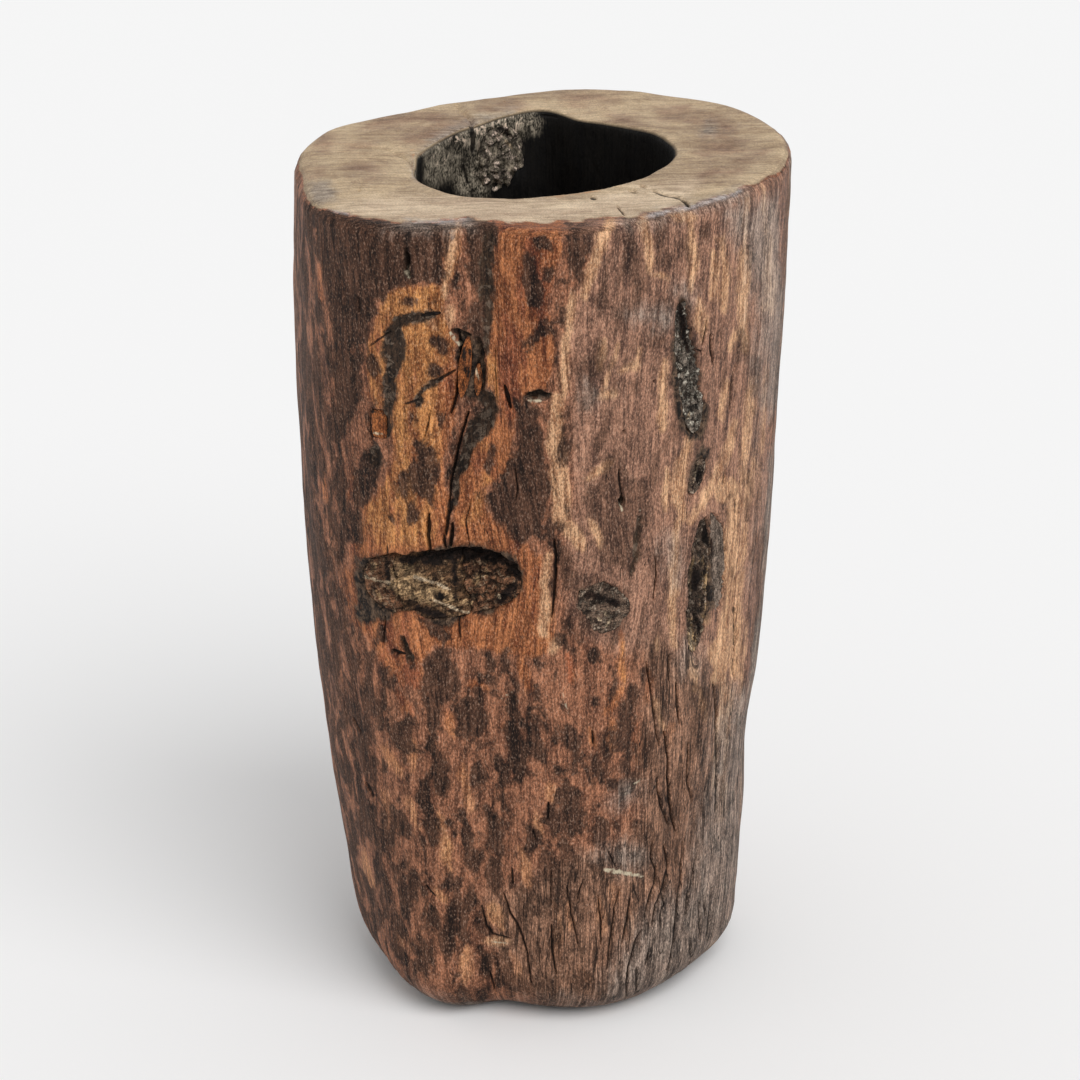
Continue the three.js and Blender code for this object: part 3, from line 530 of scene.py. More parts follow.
def outline_share(piece, across, upward):
    """One on the outline of a piece, less inside it."""
    power = piece.get("power", OUTLINE_POWER)
    a = np.abs(across / (piece["width"] / 2)) ** power
    b = np.abs(upward / (piece["tall"] / 2)) ** power
    return (a + b) ** (1 / power)


def outline_gap(piece, across, upward):
    """Millimetres, about, from the outline of a piece: above zero outside it."""
    return (outline_share(piece, across, upward) - 1) * min(piece["width"], piece["tall"]) / 2


def face_drop(piece, v):
    """How far a piece's face lies below the wall: more at its top, where the wall hangs over it."""
    climb = np.clip(v / (piece["tall"] / 2), 0, 1)
    return piece["sink"] + piece["overhang"] * climb ** 2


knot = HELD["front_knot"]
print("the large knot's face lies", face_drop(knot, 0), "to", face_drop(knot, knot["tall"]), "mm deep")

# %% [markdown]
# The log's skin runs from the middle of the foot, out and up the wall, over the rim and down to the
# floor of the hollow. It could be lathed from a profile, but no two sides of it are alike. So a plain
# tube is spun first, whose height only counts rows, and each row then goes to its real place. Its
# columns lie closer on the front, where the fine marks are.

# %% Rows of the skin
FOOT, FOOT_EDGE, WALL, RIM_EDGE, RIM, MOUTH_EDGE, CAVITY, CORNER, FLOOR = range(9)
TOP_OF_WALL = POT_HEIGHT - RIM_EDGE_RADIUS
EVEN_ROWS_TO, ROW_GAP = 400, 2.2
wall_heights = np.concatenate([np.arange(FOOT_EDGE_RADIUS, EVEN_ROWS_TO, ROW_GAP),
                               np.linspace(EVEN_ROWS_TO, TOP_OF_WALL, 14)])
wall_shares = (wall_heights - FOOT_EDGE_RADIUS) / (TOP_OF_WALL - FOOT_EDGE_RADIUS)
ROWS = [(FOOT, 0), (FOOT, 0.5), (FOOT, 0.85)]
ROWS += [(FOOT_EDGE, turn) for turn in (0, 12, 24, 36, 48, 60, 70, 80)]
ROWS += [(WALL, share) for share in wall_shares]
ROWS += [(RIM_EDGE, turn) for turn in (15, 30, 45, 58, 68, 78, 90)]
ROWS += [(RIM, share) for share in np.linspace(0.06, 0.94, 16)]
ROWS += [(MOUTH_EDGE, turn) for turn in (90, 60, 30, 0)]
ROWS += [(CAVITY, share) for share in np.linspace(0.04, 1, 22) ** 1.5]
ROWS += [(CORNER, turn) for turn in (22, 45, 68, 90)]
ROWS += [(FLOOR, 0.66), (FLOOR, 0.33), (FLOOR, 0)]
ROW_KIND = np.array([kind for kind, _ in ROWS])
ROW_VALUE = np.array([value for _, value in ROWS], float)
ROW_TURN = np.select(
    [ROW_KIND == FOOT, ROW_KIND == FOOT_EDGE, ROW_KIND == WALL, ROW_KIND == RIM_EDGE, ROW_KIND == RIM,
     ROW_KIND == MOUTH_EDGE, ROW_KIND == CAVITY, ROW_KIND == CORNER],
    [-90, ROW_VALUE - 90, 0, ROW_VALUE, 90, 180 - ROW_VALUE, 180, 180 - ROW_VALUE], 90)
AROUND = 252
BACK_SHARE = 88 / AROUND
BACK_FROM, BACK_TO = -30, 210
print(len(ROWS), "rows of", AROUND)


# %% Real place of each row
def ring_place(azimuth, row):
    """Radius and height of a whole-numbered row at an azimuth."""
    kind, value = ROW_KIND[row], ROW_VALUE[row]
    turn = np.radians(value)
    radius, z = np.zeros(len(row)), np.zeros(len(row))
    corner = FLOOR_THICKNESS + CAVITY_CORNER_RADIUS
    rim_radius = wall_radius(azimuth, POT_HEIGHT)
    rim_z = rim_height(azimuth, rim_radius)
    mouth_radius = cavity_radius(azimuth, POT_HEIGHT)
    mouth_z = rim_height(azimuth, mouth_radius)

    here = kind == FOOT
    radius[here] = value[here] * (wall_radius(azimuth[here], 0) - FOOT_EDGE_RADIUS)
    here = kind == FOOT_EDGE
    z[here] = FOOT_EDGE_RADIUS * (1 - np.cos(turn[here]))
    radius[here] = wall_radius(azimuth[here], z[here]) - FOOT_EDGE_RADIUS * (1 - np.sin(turn[here]))
    here = kind == WALL
    z[here] = FOOT_EDGE_RADIUS + value[here] * (rim_z[here] - RIM_EDGE_RADIUS - FOOT_EDGE_RADIUS)
    radius[here] = wall_radius(azimuth[here], z[here])
    here = kind == RIM_EDGE
    z[here] = rim_z[here] - RIM_EDGE_RADIUS * (1 - np.sin(turn[here]))
    radius[here] = rim_radius[here] - RIM_EDGE_RADIUS * (1 - np.cos(turn[here]))
    here = kind == RIM
    outer, inner = rim_radius[here] - RIM_EDGE_RADIUS, mouth_radius[here] + MOUTH_EDGE_RADIUS
    radius[here] = outer + value[here] * (inner - outer)
    z[here] = rim_height(azimuth[here], radius[here])
    here = kind == MOUTH_EDGE
    radius[here] = mouth_radius[here] + MOUTH_EDGE_RADIUS * (1 - np.cos(turn[here]))
    z[here] = mouth_z[here] - MOUTH_EDGE_RADIUS * (1 - np.sin(turn[here]))
    here = kind == CAVITY
    top = mouth_z[here] - MOUTH_EDGE_RADIUS
    z[here] = top + value[here] * (corner - top)
    radius[here] = cavity_radius(azimuth[here], z[here])
    here = kind == CORNER
    z[here] = corner - CAVITY_CORNER_RADIUS * np.sin(turn[here])
    radius[here] = cavity_radius(azimuth[here], corner) - CAVITY_CORNER_RADIUS * (1 - np.cos(turn[here]))
    here = kind == FLOOR
    z[here] = FLOOR_THICKNESS
    radius[here] = value[here] * (cavity_radius(azimuth[here], corner) - CAVITY_CORNER_RADIUS)
    return radius, z


def skin_place(tube):
    """From points of the counting tube: azimuth, radius, height, and the tilt of the skin's normal."""
    share = (np.degrees(np.arctan2(tube[:, 1], tube[:, 0])) % 360) / 360
    azimuth = np.interp(share, [0, BACK_SHARE, 1], [BACK_FROM, BACK_TO, BACK_FROM + 360])
    azimuth = (azimuth + 180) % 360 - 180
    low = np.clip(np.floor(tube[:, 2] + 1e-4).astype(int), 0, len(ROWS) - 1)
    high = np.minimum(low + 1, len(ROWS) - 1)
    t = np.clip(tube[:, 2] - low, 0, 1)
    low_radius, low_z = ring_place(azimuth, low)
    high_radius, high_z = ring_place(azimuth, high)
    tilt = np.radians(ROW_TURN[low] + t * (ROW_TURN[high] - ROW_TURN[low]))
    return azimuth, low_radius + t * (high_radius - low_radius), low_z + t * (high_z - low_z), tilt


def in_space(azimuth, radius, z):
    turn = np.radians(azimuth)
    return np.stack([radius * np.cos(turn), radius * np.sin(turn), z], axis=1)


def facing_camera(points, azimuth, tilt):
    """One where the skin looks at the camera, zero or less where it looks away."""
    turn = np.radians(azimuth)
    normal = np.stack([np.cos(turn) * np.cos(tilt), np.sin(turn) * np.cos(tilt), np.sin(tilt)], axis=1)
    sight = np.array(CAMERA_PLACE) - points
    return (normal * sight).sum(axis=1) / np.linalg.norm(sight, axis=1)


front_side = ring_place(np.full(len(ROWS), -90.0), np.arange(len(ROWS)))
print("the front's rows reach", round(float(front_side[1].max()), 1), "mm up")

# %% [markdown]
# The tilt of the skin's normal, in radians, also says which part of the pot a point belongs to. It is 0
# on the wall, a quarter turn on the rim and a half turn in the hollow. The limits between them are named
# here, because the mesh, its relief and its stains all ask for them.

# %% Parts of the skin
PLAIN_WALL, PLAIN_HOLLOW = 0.5, 2.5
CARVED_WALL, DETAIL_WALL = 0.9, 1.2
RIM_FROM, RIM_TO, HOLLOW_FROM = 1.3, 2.4, 2.6
BELOW_MOUTH, NEAR_RIM = POT_HEIGHT - 40, POT_HEIGHT - 30


def in_hollow(tilt, z):
    return (tilt > HOLLOW_FROM) | ((tilt > 1) & (z < BELOW_MOUTH))


def on_top(tilt, z, start):
    """The rim, from the tilt start of its outer edge to its mouth."""
    return (tilt > start) & (tilt < RIM_TO) & ~in_hollow(tilt, z)


def on_side_of(piece, tilt):
    """The side of the wall that a held piece shows on."""
    return tilt > PLAIN_HOLLOW if piece.get("inside") else np.abs(tilt) < PLAIN_WALL


print("the hollow starts at a tilt of", HOLLOW_FROM, "or, below its mouth, under", BELOW_MOUTH, "mm")


# %% Spin the counting tube
def counting_tube():
    log = bmesh.new()
    line = [log.verts.new((0 if row in (0, len(ROWS) - 1) else 1, 0, row)) for row in range(len(ROWS))]
    edges = [log.edges.new(pair) for pair in zip(line, line[1:])]
    bmesh.ops.spin(log, geom=line + edges, cent=(0, 0, 0), axis=(0, 0, 1), angle=math.tau, steps=AROUND,
                   use_merge=True)
    bmesh.ops.remove_doubles(log, verts=log.verts[:], dist=1e-4)
    return log


def tube_points(log):
    return np.array([vert.co[:] for vert in log.verts])


log = counting_tube()
print("tube:", len(log.verts), "points,", len(log.faces), "faces")

# %% [markdown]
# A crack one millimetre wide falls between the points of this mesh. Making the whole mesh finer would
# cost a million faces, so only the edges near a cut, a crack or the edge of a pocket are divided, and
# those that lie closest to it once more.

# %% Finer mesh along the marks
PIXELS_PER_MM = 2.1
NEAR_CARVED = (3.3, 1.2)
NEAR_POCKET = (0.12, 0.05)
NEAR_RIM_CRACK = 1.8
FACING_LEAST = 0.12
STRAY, STRAY_SIZE, THIN_STRAY = 3.0, 9, 0.35


def noise_field(points, size, seed=0.0, octaves=2):
    """Smooth noise from about -1 to 1 at each point, with features of the given size."""
    shift = Vector((seed * 17.3, seed * 5.1, seed * 9.7))
    return np.array([noise.fractal(Vector(point) / size + shift, 1.0, 2.0, octaves) for point in points])


def strayed(points):
    """Pixels of the points, moved a little by noise, so that a mark drawn with few points gets a
    natural edge. The second set is moved less, for thin lines."""
    pixels = to_photo(points)
    shift = STRAY * np.stack([noise_field(points, STRAY_SIZE, seed, 3) for seed in (31, 37)], axis=1)
    return pixels + shift, pixels + THIN_STRAY * shift


def wants_detail(points, azimuth, z, tilt, gap, share):
    """True within gap pixels of a carved mark, or within share of a pocket's outline."""
    pixels, thin_pixels = strayed(points)
    seen = facing_camera(points, azimuth, tilt) > FACING_LEAST
    along_cut = np.abs(deepest(pixels, WIDE_CUTS)) < gap
    along_crack = deepest(thin_pixels, THIN_CRACKS) > -gap
    wanted = seen & (np.abs(tilt) < DETAIL_WALL) & (along_cut | along_crack)
    flat_rim = (tilt > RIM_FROM) & (tilt < RIM_TO) & (z > NEAR_RIM)
    wanted |= flat_rim & (deepest(thin_pixels, RIM_CRACKS) > -NEAR_RIM_CRACK * gap)
    for name, piece in HELD.items():
        across, upward, _ = spot_on_piece(piece, azimuth, z)
        side = on_side_of(piece, tilt)
        over = outline_share(piece, across, upward) - 1
        wanted |= side & (np.abs(over) < share)
        if name in OPENINGS:
            wanted |= side & (over < share) & (np.abs(area_depth(pixels, OPENINGS[name])) < gap)
    return wanted


for gap, share in zip(NEAR_CARVED, NEAR_POCKET):
    azimuth, radius, z, tilt = skin_place(tube_points(log))
    wanted = wants_detail(in_space(azimuth, radius, z), azimuth, z, tilt, gap, share)
    log.verts.index_update()
    edges = [edge for edge in log.edges if wanted[edge.verts[0].index] and wanted[edge.verts[1].index]]
    bmesh.ops.subdivide_edges(log, edges=edges, cuts=1, use_grid_fill=True)
bmesh.ops.triangulate(log, faces=log.faces[:])
print("log:", len(log.faces), "triangles")

# %% [markdown]
# Now the skin takes its shape. Besides the pockets and the carved marks it gets what a hand feels: slow
# swellings left by the tools, and fine flutes that follow the grain.

# %% Relief of the skin
SWELL, SWELL_SIZE = 0.9, 46
FLUTE, FLUTE_RADIUS, FLUTE_ARC, FLUTE_TALL = 0.32, 110, 2.6, 60
FLUTE_LEAST, FLUTE_GAIN = 0.4, 0.6
HOLLOW_ROUGHER, FLAT_FOOT = 1.6, 12
CROOKED, CROOKED_SIZE, POCKET_SLOPE, POCKET_DEEPER = 0.8, 5, 0.7, 1.8
THIN_WIDTH, THIN_DEPTH = 3.7, 0.55
CUT_LIP, CUT_SLOPE = 0.8, 0.35
RIM_CRACK_DEPTH = 1.6
FRONT_FADE = (0.02, 0.3)


def pocket_drop(azimuth, z, tilt, points, pixels):
    drop = np.zeros(len(z))
    crooked = CROOKED * noise_field(points, CROOKED_SIZE, 21, 3)
    for name, piece in HELD.items():
        across, upward, v = spot_on_piece(piece, azimuth, z)
        inside = soft_step(POCKET_SLOPE, -POCKET_SLOPE, outline_gap(piece, across, upward) + crooked)
        inside = inside * on_side_of(piece, tilt) * opened(name, pixels)
        drop = np.maximum(drop, inside * (face_drop(piece, v) + POCKET_DEEPER))
    return drop


def carved_drop(marks, pixels, thin_pixels, seen):
    """A thin crack stays shallow, because its sides would otherwise be steeper than the mesh can show."""
    drop = np.zeros(len(pixels))
    for depth, *stroke in marks:
        inward = stroke_depth(pixels if stroke[0] > THIN_CRACK else thin_pixels, stroke)
        shallow = THIN_DEPTH if stroke[0] < THIN_WIDTH else 1
        drop = np.maximum(drop, shallow * depth * soft_step(-CUT_LIP, CUT_SLOPE * stroke[0], inward))
    return drop * seen


azimuth, radius, z, tilt = skin_place(tube_points(log))
smooth_points = in_space(azimuth, radius, z)
pixels, thin_pixels = strayed(smooth_points)
front = soft_step(*FRONT_FADE, facing_camera(smooth_points, azimuth, tilt))
on_wall = (np.abs(tilt) < CARVED_WALL).astype(float)
rim_cracks = [(RIM_CRACK_DEPTH, *stroke) for stroke in RIM_CRACKS]
sunk = pocket_drop(azimuth, z, tilt, smooth_points, pixels)
sunk = np.maximum(sunk, carved_drop(CARVED, pixels, thin_pixels, front * on_wall))
sunk = np.maximum(sunk, carved_drop(rim_cracks, pixels, thin_pixels, on_top(tilt, z, CARVED_WALL)))
arc = np.stack([np.cos(np.radians(azimuth)) * FLUTE_RADIUS / FLUTE_ARC,
                np.sin(np.radians(azimuth)) * FLUTE_RADIUS / FLUTE_ARC, z / FLUTE_TALL], axis=1)
swell = SWELL * noise_field(smooth_points, SWELL_SIZE, 1, 3)
flute = FLUTE * noise_field(arc, 1, 2, 2)
standing = soft_step(0, FLAT_FOOT, z) * np.where(in_hollow(tilt, z), HOLLOW_ROUGHER, 1)
lift = standing * (swell + flute * (FLUTE_LEAST + FLUTE_GAIN * on_wall)) - sunk
skin = in_space(azimuth, radius + lift * np.cos(tilt), z + lift * np.sin(tilt))
print("deepest place of a pocket or a mark:", round(float(sunk.max()), 1), "mm")

# %% [markdown]
# The grain is kept as a place for each point, at which the material reads its fibres. The streaks can
# then run up the wall, bend round the knots and turn along the rim, as they do in a real trunk.

# %% Course of the grain
GRAIN_RADIUS, GRAIN_TURNS, RIM_BEND, RIM_BEND_SIZE = 0.11, 0.85, 5, 45
WAVER, WAVER_SIZE = 2.2, 70
KNOT_BEND = 9
BENDING_KNOTS = ("front_knot", "centre_knot", "right_knot_core")


def grain_azimuth(azimuth, z, points):
    """Azimuth with the waver of the grain, which flows round each knot."""
    bent = azimuth + WAVER * noise_field(points * (1, 1, 0.5), WAVER_SIZE, 3)
    for name in BENDING_KNOTS:
        piece = HELD[name]
        across, upward, _ = spot_on_piece(piece, azimuth, z)
        wide, high = piece["width"] * 0.7 + 4, piece["tall"] * 0.8 + 8
        push = np.exp(-(across / wide) ** 2 - (upward / high) ** 2)
        bent -= KNOT_BEND * push * np.clip(across / wide, -1, 1)
    return bent


def grain_place(azimuth, z, tilt, points):
    """Place, in metres, at which a material reads its grain: long along z, or along x on the rim."""
    turn = np.radians(grain_azimuth(azimuth, z, points))
    wall = np.stack([GRAIN_RADIUS * np.cos(turn), GRAIN_RADIUS * np.sin(turn), z * MM], axis=1)
    across = points[:, 1] + RIM_BEND * noise_field(points, RIM_BEND_SIZE, 41, 2)
    rim = np.stack([across, 0 * z, points[:, 0]], axis=1) * MM
    return np.where(on_top(tilt, z, GRAIN_TURNS)[:, None], rim, wall)


grain_at = grain_place(azimuth, z, tilt, smooth_points)
print("grain kept at", len(grain_at), "points")

# %% [markdown]
# The rim and the hollow have marks of their own: stains and worn places on the sawn top, light crumbly
# wood and pink scrapes inside the mouth, and a few cracks. A point of the skin takes the marks of the
# part that it belongs to, so the line where the sawn top begins is an outline too.

# %% Marks on the rim and in the hollow
RIM_DARK = [
    (14, 318, 146, 330, 143), (12, 366, 128, 400, 120, 440, 118), (14, 420, 136, 445, 128, 470, 122),
    (9, 345, 148, 372, 142), (10, 400, 140, 425, 140), (10, 310, 176, 322, 170), (8, 350, 165, 380, 172),
    (9, 690, 118, 730, 128), (10, 700, 150, 745, 146), (8, 660, 112, 700, 112), (8, 740, 160, 765, 152),
    (6, 705, 136, 722, 134), (9, 560, 98, 620, 100), (6, 700, 176, 740, 170), (5, 610, 116, 640, 122),
    (5, 480, 108, 520, 104),
]
RIM_PALE = [
    (4, 430, 184, 455, 191, 492, 195, 561, 193, 620, 184, 672, 157), (6, 413, 150, 414, 168),
]
RIM_WORN = [
    (430, 196, 560, 200, 640, 190, 700, 176, 690, 200, 620, 218, 540, 226, 440, 226, 360, 216, 330, 206,
     380, 196),
]
# Grey on the top; its stroke along the front right edge paints a highlight.
RIM_GREY_AND_SHEEN = [
    (10, 418, 164, 428, 148, 450, 131, 478, 120, 512, 113), (6, 412, 160, 420, 176),
    (9, 640, 218, 680, 210, 720, 198, 738, 192), (14, 706, 132, 714, 128), (26, 315, 190, 330, 196),
]
HOLLOW_LIGHT = [
    (34, 438, 150, 450, 170), (30, 466, 134, 492, 140), (26, 488, 126, 516, 122),
    (26, 478, 162, 504, 152), (26, 424, 158, 436, 178), (16, 516, 120, 530, 124),
    (30, 460, 176, 480, 186),
]
HOLLOW_PINK = [
    (16, 474, 134, 520, 120), (20, 478, 156, 512, 146), (10, 450, 134, 466, 142),
    (12, 470, 172, 500, 164), (8, 436, 158, 450, 166),
]
HOLLOW_CRACKS = [
    (7, 471, 126, 474, 140, 473, 152, 470, 162), (11, 465, 168, 467, 182), (5, 540, 116, 560, 118),
]
print(len(RIM_DARK), "stains on the rim,", len(HOLLOW_LIGHT), "light places in the hollow")

# %% Each part of the skin takes its own marks
TOP_AREA = (
    200, 196, 300, 196, 320, 207, 340, 213, 360, 217, 380, 220, 400, 222, 440, 222, 462, 219, 490, 220,
    502, 222, 525, 223, 560, 222, 580, 221, 600, 219, 620, 218, 640, 215, 660, 211, 680, 206, 700, 201,
    720, 195, 740, 189, 760, 182, 780, 172, 900, 172, 900, 0, 200, 0)
TOP_FROM, TOP_TO = 0.75, 1.6
MM_PER_PIXEL = 1 / PIXELS_PER_MM
MARK_NAMES = ("bare", "gold", "mauve", "pale", "dark", "grey", "scrape", "sheen", "crack", "groove",
              "smoky_and_shaded", "split", "crust")
THIN_MARKS = ("scrape", "sheen", "crack")
MARKS_OF_PARTS = {
    "wall": (("bare", BARE_STROKES, BARE_AREAS), ("mauve", (), MAUVE_AREAS),
             ("gold", GOLD_STROKES, GOLD_AREAS), ("pale", PALE_STROKES, ()),
             ("dark", DARK_STROKES, DARK_AREAS), ("grey", GREY_AND_SHEEN_STROKES, GREY_AREAS),
             ("scrape", SCRAPE_STROKES, ()), ("crack", THIN_CRACKS, ()), ("groove", WIDE_CUTS, ()),
             ("crust", (), CRUST_AREAS), ("smoky_and_shaded", (), SMOKY_AND_SHADED_AREAS), ("split", (), SPLIT_AREAS)),
    "wall and top": (("sheen", SHEEN_STROKES, ()),),
    "top": (("crack", RIM_CRACKS, ()), ("dark", RIM_DARK, ()), ("bare", (), RIM_WORN), ("pale", RIM_PALE, ()),
            ("grey", RIM_GREY_AND_SHEEN, ())),
    "hollow": (("pale", HOLLOW_LIGHT, ()), ("scrape", HOLLOW_PINK, ()), ("crack", HOLLOW_CRACKS, ())),
}


def top_depth(pixels, tilt):
    """Millimetres, about, from the line where the sawn top begins: above zero on the top."""
    turned = (np.minimum(tilt, TOP_TO) - TOP_FROM) * RIM_EDGE_RADIUS
    return np.minimum(turned, area_depth(pixels, TOP_AREA) * MM_PER_PIXEL)


def front_marks(pixels, thin_pixels, z, tilt):
    """The photograph's marks as distances in millimetres, for the wall, the rim and the hollow."""
    hollow = in_hollow(tilt, z)
    top = (top_depth(pixels, tilt) > 0) & ~hollow
    parts = {"wall": ~top & ~hollow, "wall and top": ~hollow, "top": top, "hollow": hollow}
    found = {name: np.full(len(tilt), FAR) for name in MARK_NAMES}
    for part, part_marks in MARKS_OF_PARTS.items():
        here = parts[part]
        for name, strokes, areas in part_marks:
            spots = thin_pixels if name in THIN_MARKS else pixels
            found[name][here] = deepest(spots[here], strokes, areas) * MM_PER_PIXEL
    return found


seen_marks = front_marks(pixels, thin_pixels, z, tilt)
print("points under a dark stain:", int((seen_marks["dark"] > 0).sum()))

# %% [markdown]
# The photograph shows only the front half. On the other side the same skin goes on, so its stains come
# from noise: cells stretched along the grain make the spots, and slow noise makes the bare patches and
# the weathered bands. Each is a noise less the level above which it shows, times the millimetres that
# one unit of the noise stands for. The two halves meet where the wall turns away from the camera.

# %% Marks from noise, for the side that the photograph does not show
SPOT_SIZE, SPOT_STRETCH, SPOT_REACH, SPOT_VARIES = 17.0, 2.3, 0.36, 0.22
BLEACHED_ARC, BLEACHED_WANDER = 26, 22
ABSENT = -30.0
NO_TOP_MARKS = ("bare", "pale", "smoky_and_shaded", "split", "crust", "groove")


def spot_field(points):
    """Distance inside dark spots stretched along the grain."""
    found = []
    for x, y, z in points:
        place = Vector((x, y, z / SPOT_STRETCH)) / SPOT_SIZE
        gaps, _ = noise.voronoi(place)
        keep = noise.noise(place * 0.35 + Vector((7, 3, 1)))
        found.append((SPOT_REACH + SPOT_VARIES * keep - gaps[0]) * SPOT_SIZE)
    return np.array(found)


def noise_marks(points, azimuth, z, tilt):
    tall = points * (1, 1, 0.45)
    slow = noise_field(tall, 55, 5, 3)
    other = noise_field(tall, 40, 8, 3)
    streaks = noise_field(points * (1, 1, 0.12), 14, 11, 2)
    wander = BLEACHED_WANDER * (noise_field(points * (1, 1, 0.5), 34, 15, 4) + 0.3 * other)
    bleached = np.exp(-((azimuth + wander) / BLEACHED_ARC) ** 2)
    found = {name: np.full(len(z), ABSENT) for name in MARK_NAMES}
    found["dark"] = np.maximum(spot_field(points), (slow - 0.34) * 40)
    found["bare"] = (other - 0.3) * 40
    found["gold"] = (other - 0.5) * 40
    found["mauve"] = (0.3 * (z - 230) / 60 + 0.7 * slow - 0.15) * 25
    found["pale"] = (streaks - 0.42) * 14
    found["grey"] = (other * 0.6 - (z - 30) / 60 * (1 - bleached) + 0.7 * bleached - 0.15) * 14
    found["smoky_and_shaded"] = (slow + 0.4) * 30
    found["split"] = (streaks * 0.5 - 0.6 * other - 0.05 + 0.4 * bleached) * 24

    hollow = in_hollow(tilt, z)
    top = (tilt >= TOP_FROM) & ~hollow
    found["dark"] = np.where(top, (slow - 0.1) * 14, found["dark"])
    found["grey"] = np.where(top, (other - 0.3) * 14, found["grey"])
    for name in NO_TOP_MARKS:
        found[name] = np.where(top, ABSENT, found[name])
    for name in MARK_NAMES:
        found[name] = np.where(hollow, ABSENT, found[name])
    crumbly = (other - 0.2) * 12 - (POT_HEIGHT - z) / 8
    found["pale"] = np.where(hollow & (z > 300), crumbly, found["pale"])
    return found


guessed_marks = noise_marks(smooth_points, azimuth, z, tilt)
print("points under a guessed dark stain:", int((guessed_marks["dark"] > 0).sum()))

# %% [markdown]
# What the material needs is kept on the mesh as attributes, one number for each point. Besides the marks
# there is the mottling: how readily the skin shows small dark flecks. The log becomes an object here.

# %% Keep the marks on the skin
# The smoky mottle also paints the shade of the wall's left side.
MOTTLE, MAUVE_MOTTLE, SMOKY_AND_SHADED_MOTTLE, PALE_MOTTLE, BARE_MOTTLE = -0.25, -0.6, 0.3, -1.0, -1.35
MOUTH_FROM, MOUTH_TO = 2.45, 2.95


def store(mesh, name, values, kind="FLOAT"):
    slot = mesh.attributes.new(name, kind, "POINT")
    key = "vector" if kind == "FLOAT_VECTOR" else "value"
    slot.data.foreach_set(key, np.asarray(values, np.float32).ravel())


def finish_mesh(shape, name, points):
    """Writes points in millimetres to a bmesh, turns its faces outwards and makes it an object."""
    for vert, point in zip(shape.verts, points):
        vert.co = point * MM
    bmesh.ops.recalc_face_normals(shape, faces=shape.faces[:])
    mesh = bpy.data.meshes.new(name)
    shape.to_mesh(mesh)
    shape.free()
    mesh.shade_smooth()
    piece = bpy.data.objects.new(name, mesh)
    bpy.context.scene.collection.objects.link(piece)
    return piece


def mottle_of(marks):
    """How readily the skin is mottled: low on bare wood, high on smoke stains and the left's painted shade.
    """
    mottle = np.full(len(marks["bare"]), MOTTLE)
    mottle = mottle + (MAUVE_MOTTLE - mottle) * soft_step(-6, 10, marks["mauve"])
    mottle = mottle + (SMOKY_AND_SHADED_MOTTLE - mottle) * soft_step(-8, 8, marks["smoky_and_shaded"])
    mottle = mottle + (PALE_MOTTLE - mottle) * soft_step(-2, 2, marks["pale"])
    return mottle + (BARE_MOTTLE - mottle) * soft_step(-2, 3, marks["bare"])


hollowed_log = finish_mesh(log, "hollowed_log", skin)
marks = {name: front * seen_marks[name] + (1 - front) * guessed_marks[name] for name in MARK_NAMES}
for name, distances in marks.items():
    store(hollowed_log.data, name, distances)
store(hollowed_log.data, "mottle", mottle_of(marks))
store(hollowed_log.data, "sunk", sunk)
store(hollowed_log.data, "turned_up", top_depth(pixels, tilt))
store(hollowed_log.data, "inside", np.maximum(in_hollow(tilt, z), soft_step(MOUTH_FROM, MOUTH_TO, tilt)))
store(hollowed_log.data, "grain_at", grain_at, "FLOAT_VECTOR")
print("hollowed_log:", len(hollowed_log.data.polygons), "faces,",
      len(hollowed_log.data.attributes), "attributes")

# %% [markdown]
# Wood looks like wood through layers: fibres and pores first, then stains whose edges are ragged, then
# cracks that hold dirt. Each of these effects is a node group, built once and used by every wood here.
# A few small functions keep the node trees readable.

# %% Functions that build nodes
FLOAT, VECTOR = "NodeSocketFloat", "NodeSocketVector"
MIX_SHARE, MIX_FIRST, MIX_SECOND, MIX_RESULT = 0, 6, 7, 2


def srgb(red, green, blue):
    """A colour as read from a picture, 0 to 255, made linear."""
    def linear(value):
        value = value / 255
        return value / 12.92 if value <= 0.04045 else ((value + 0.055) / 1.055) ** 2.4
    return (linear(red), linear(green), linear(blue), 1)


def put(tree, kind, inputs=None, **settings):
    """A new node with its settings, whose inputs are values or the sockets that feed them."""
    made = tree.nodes.new(kind)
    for key, value in settings.items():
        setattr(made, key, value)
    for key, value in (inputs or {}).items():
        if isinstance(value, bpy.types.NodeSocket):
            tree.links.new(value, made.inputs[key])
        else:
            made.inputs[key].default_value = value
    return made


def calc(tree, operation, *values):
    return put(tree, "ShaderNodeMath", dict(enumerate(values)), operation=operation).outputs[0]


def times(tree, first, second):
    return calc(tree, "MULTIPLY", first, second)


def plus(tree, first, second):
    return calc(tree, "ADD", first, second)


def less(tree, first, second):
    return calc(tree, "SUBTRACT", first, second)


def weighted(tree, *parts):
    """The sum of several values, each times its share."""
    total = times(tree, *parts[0])
    for value, share in parts[1:]:
        total = plus(tree, total, times(tree, value, share))
    return total


print("a middle grey of 128 is", round(srgb(128, 128, 128)[0], 3), "as linear light")


# %% Nodes for textures and colours
def stretch(tree, vector, amounts):
    return put(tree, "ShaderNodeVectorMath", {0: vector, 1: amounts}, operation="MULTIPLY").outputs[0]


def cloud(tree, vector, scale, detail=2.0, roughness=0.5, distortion=0.0):
    made = put(tree, "ShaderNodeTexNoise", {"Vector": vector, "Scale": scale, "Detail": detail,
                                            "Roughness": roughness, "Distortion": distortion})
    return made.outputs["Fac"]


def ease(tree, value, low, high, to_low=0.0, to_high=1.0):
    """Goes softly from to_low to to_high while the value goes from low to high."""
    made = put(tree, "ShaderNodeMapRange", {0: value, 1: low, 2: high, 3: to_low, 4: to_high},
               interpolation_type="SMOOTHSTEP")
    return made.outputs[0]


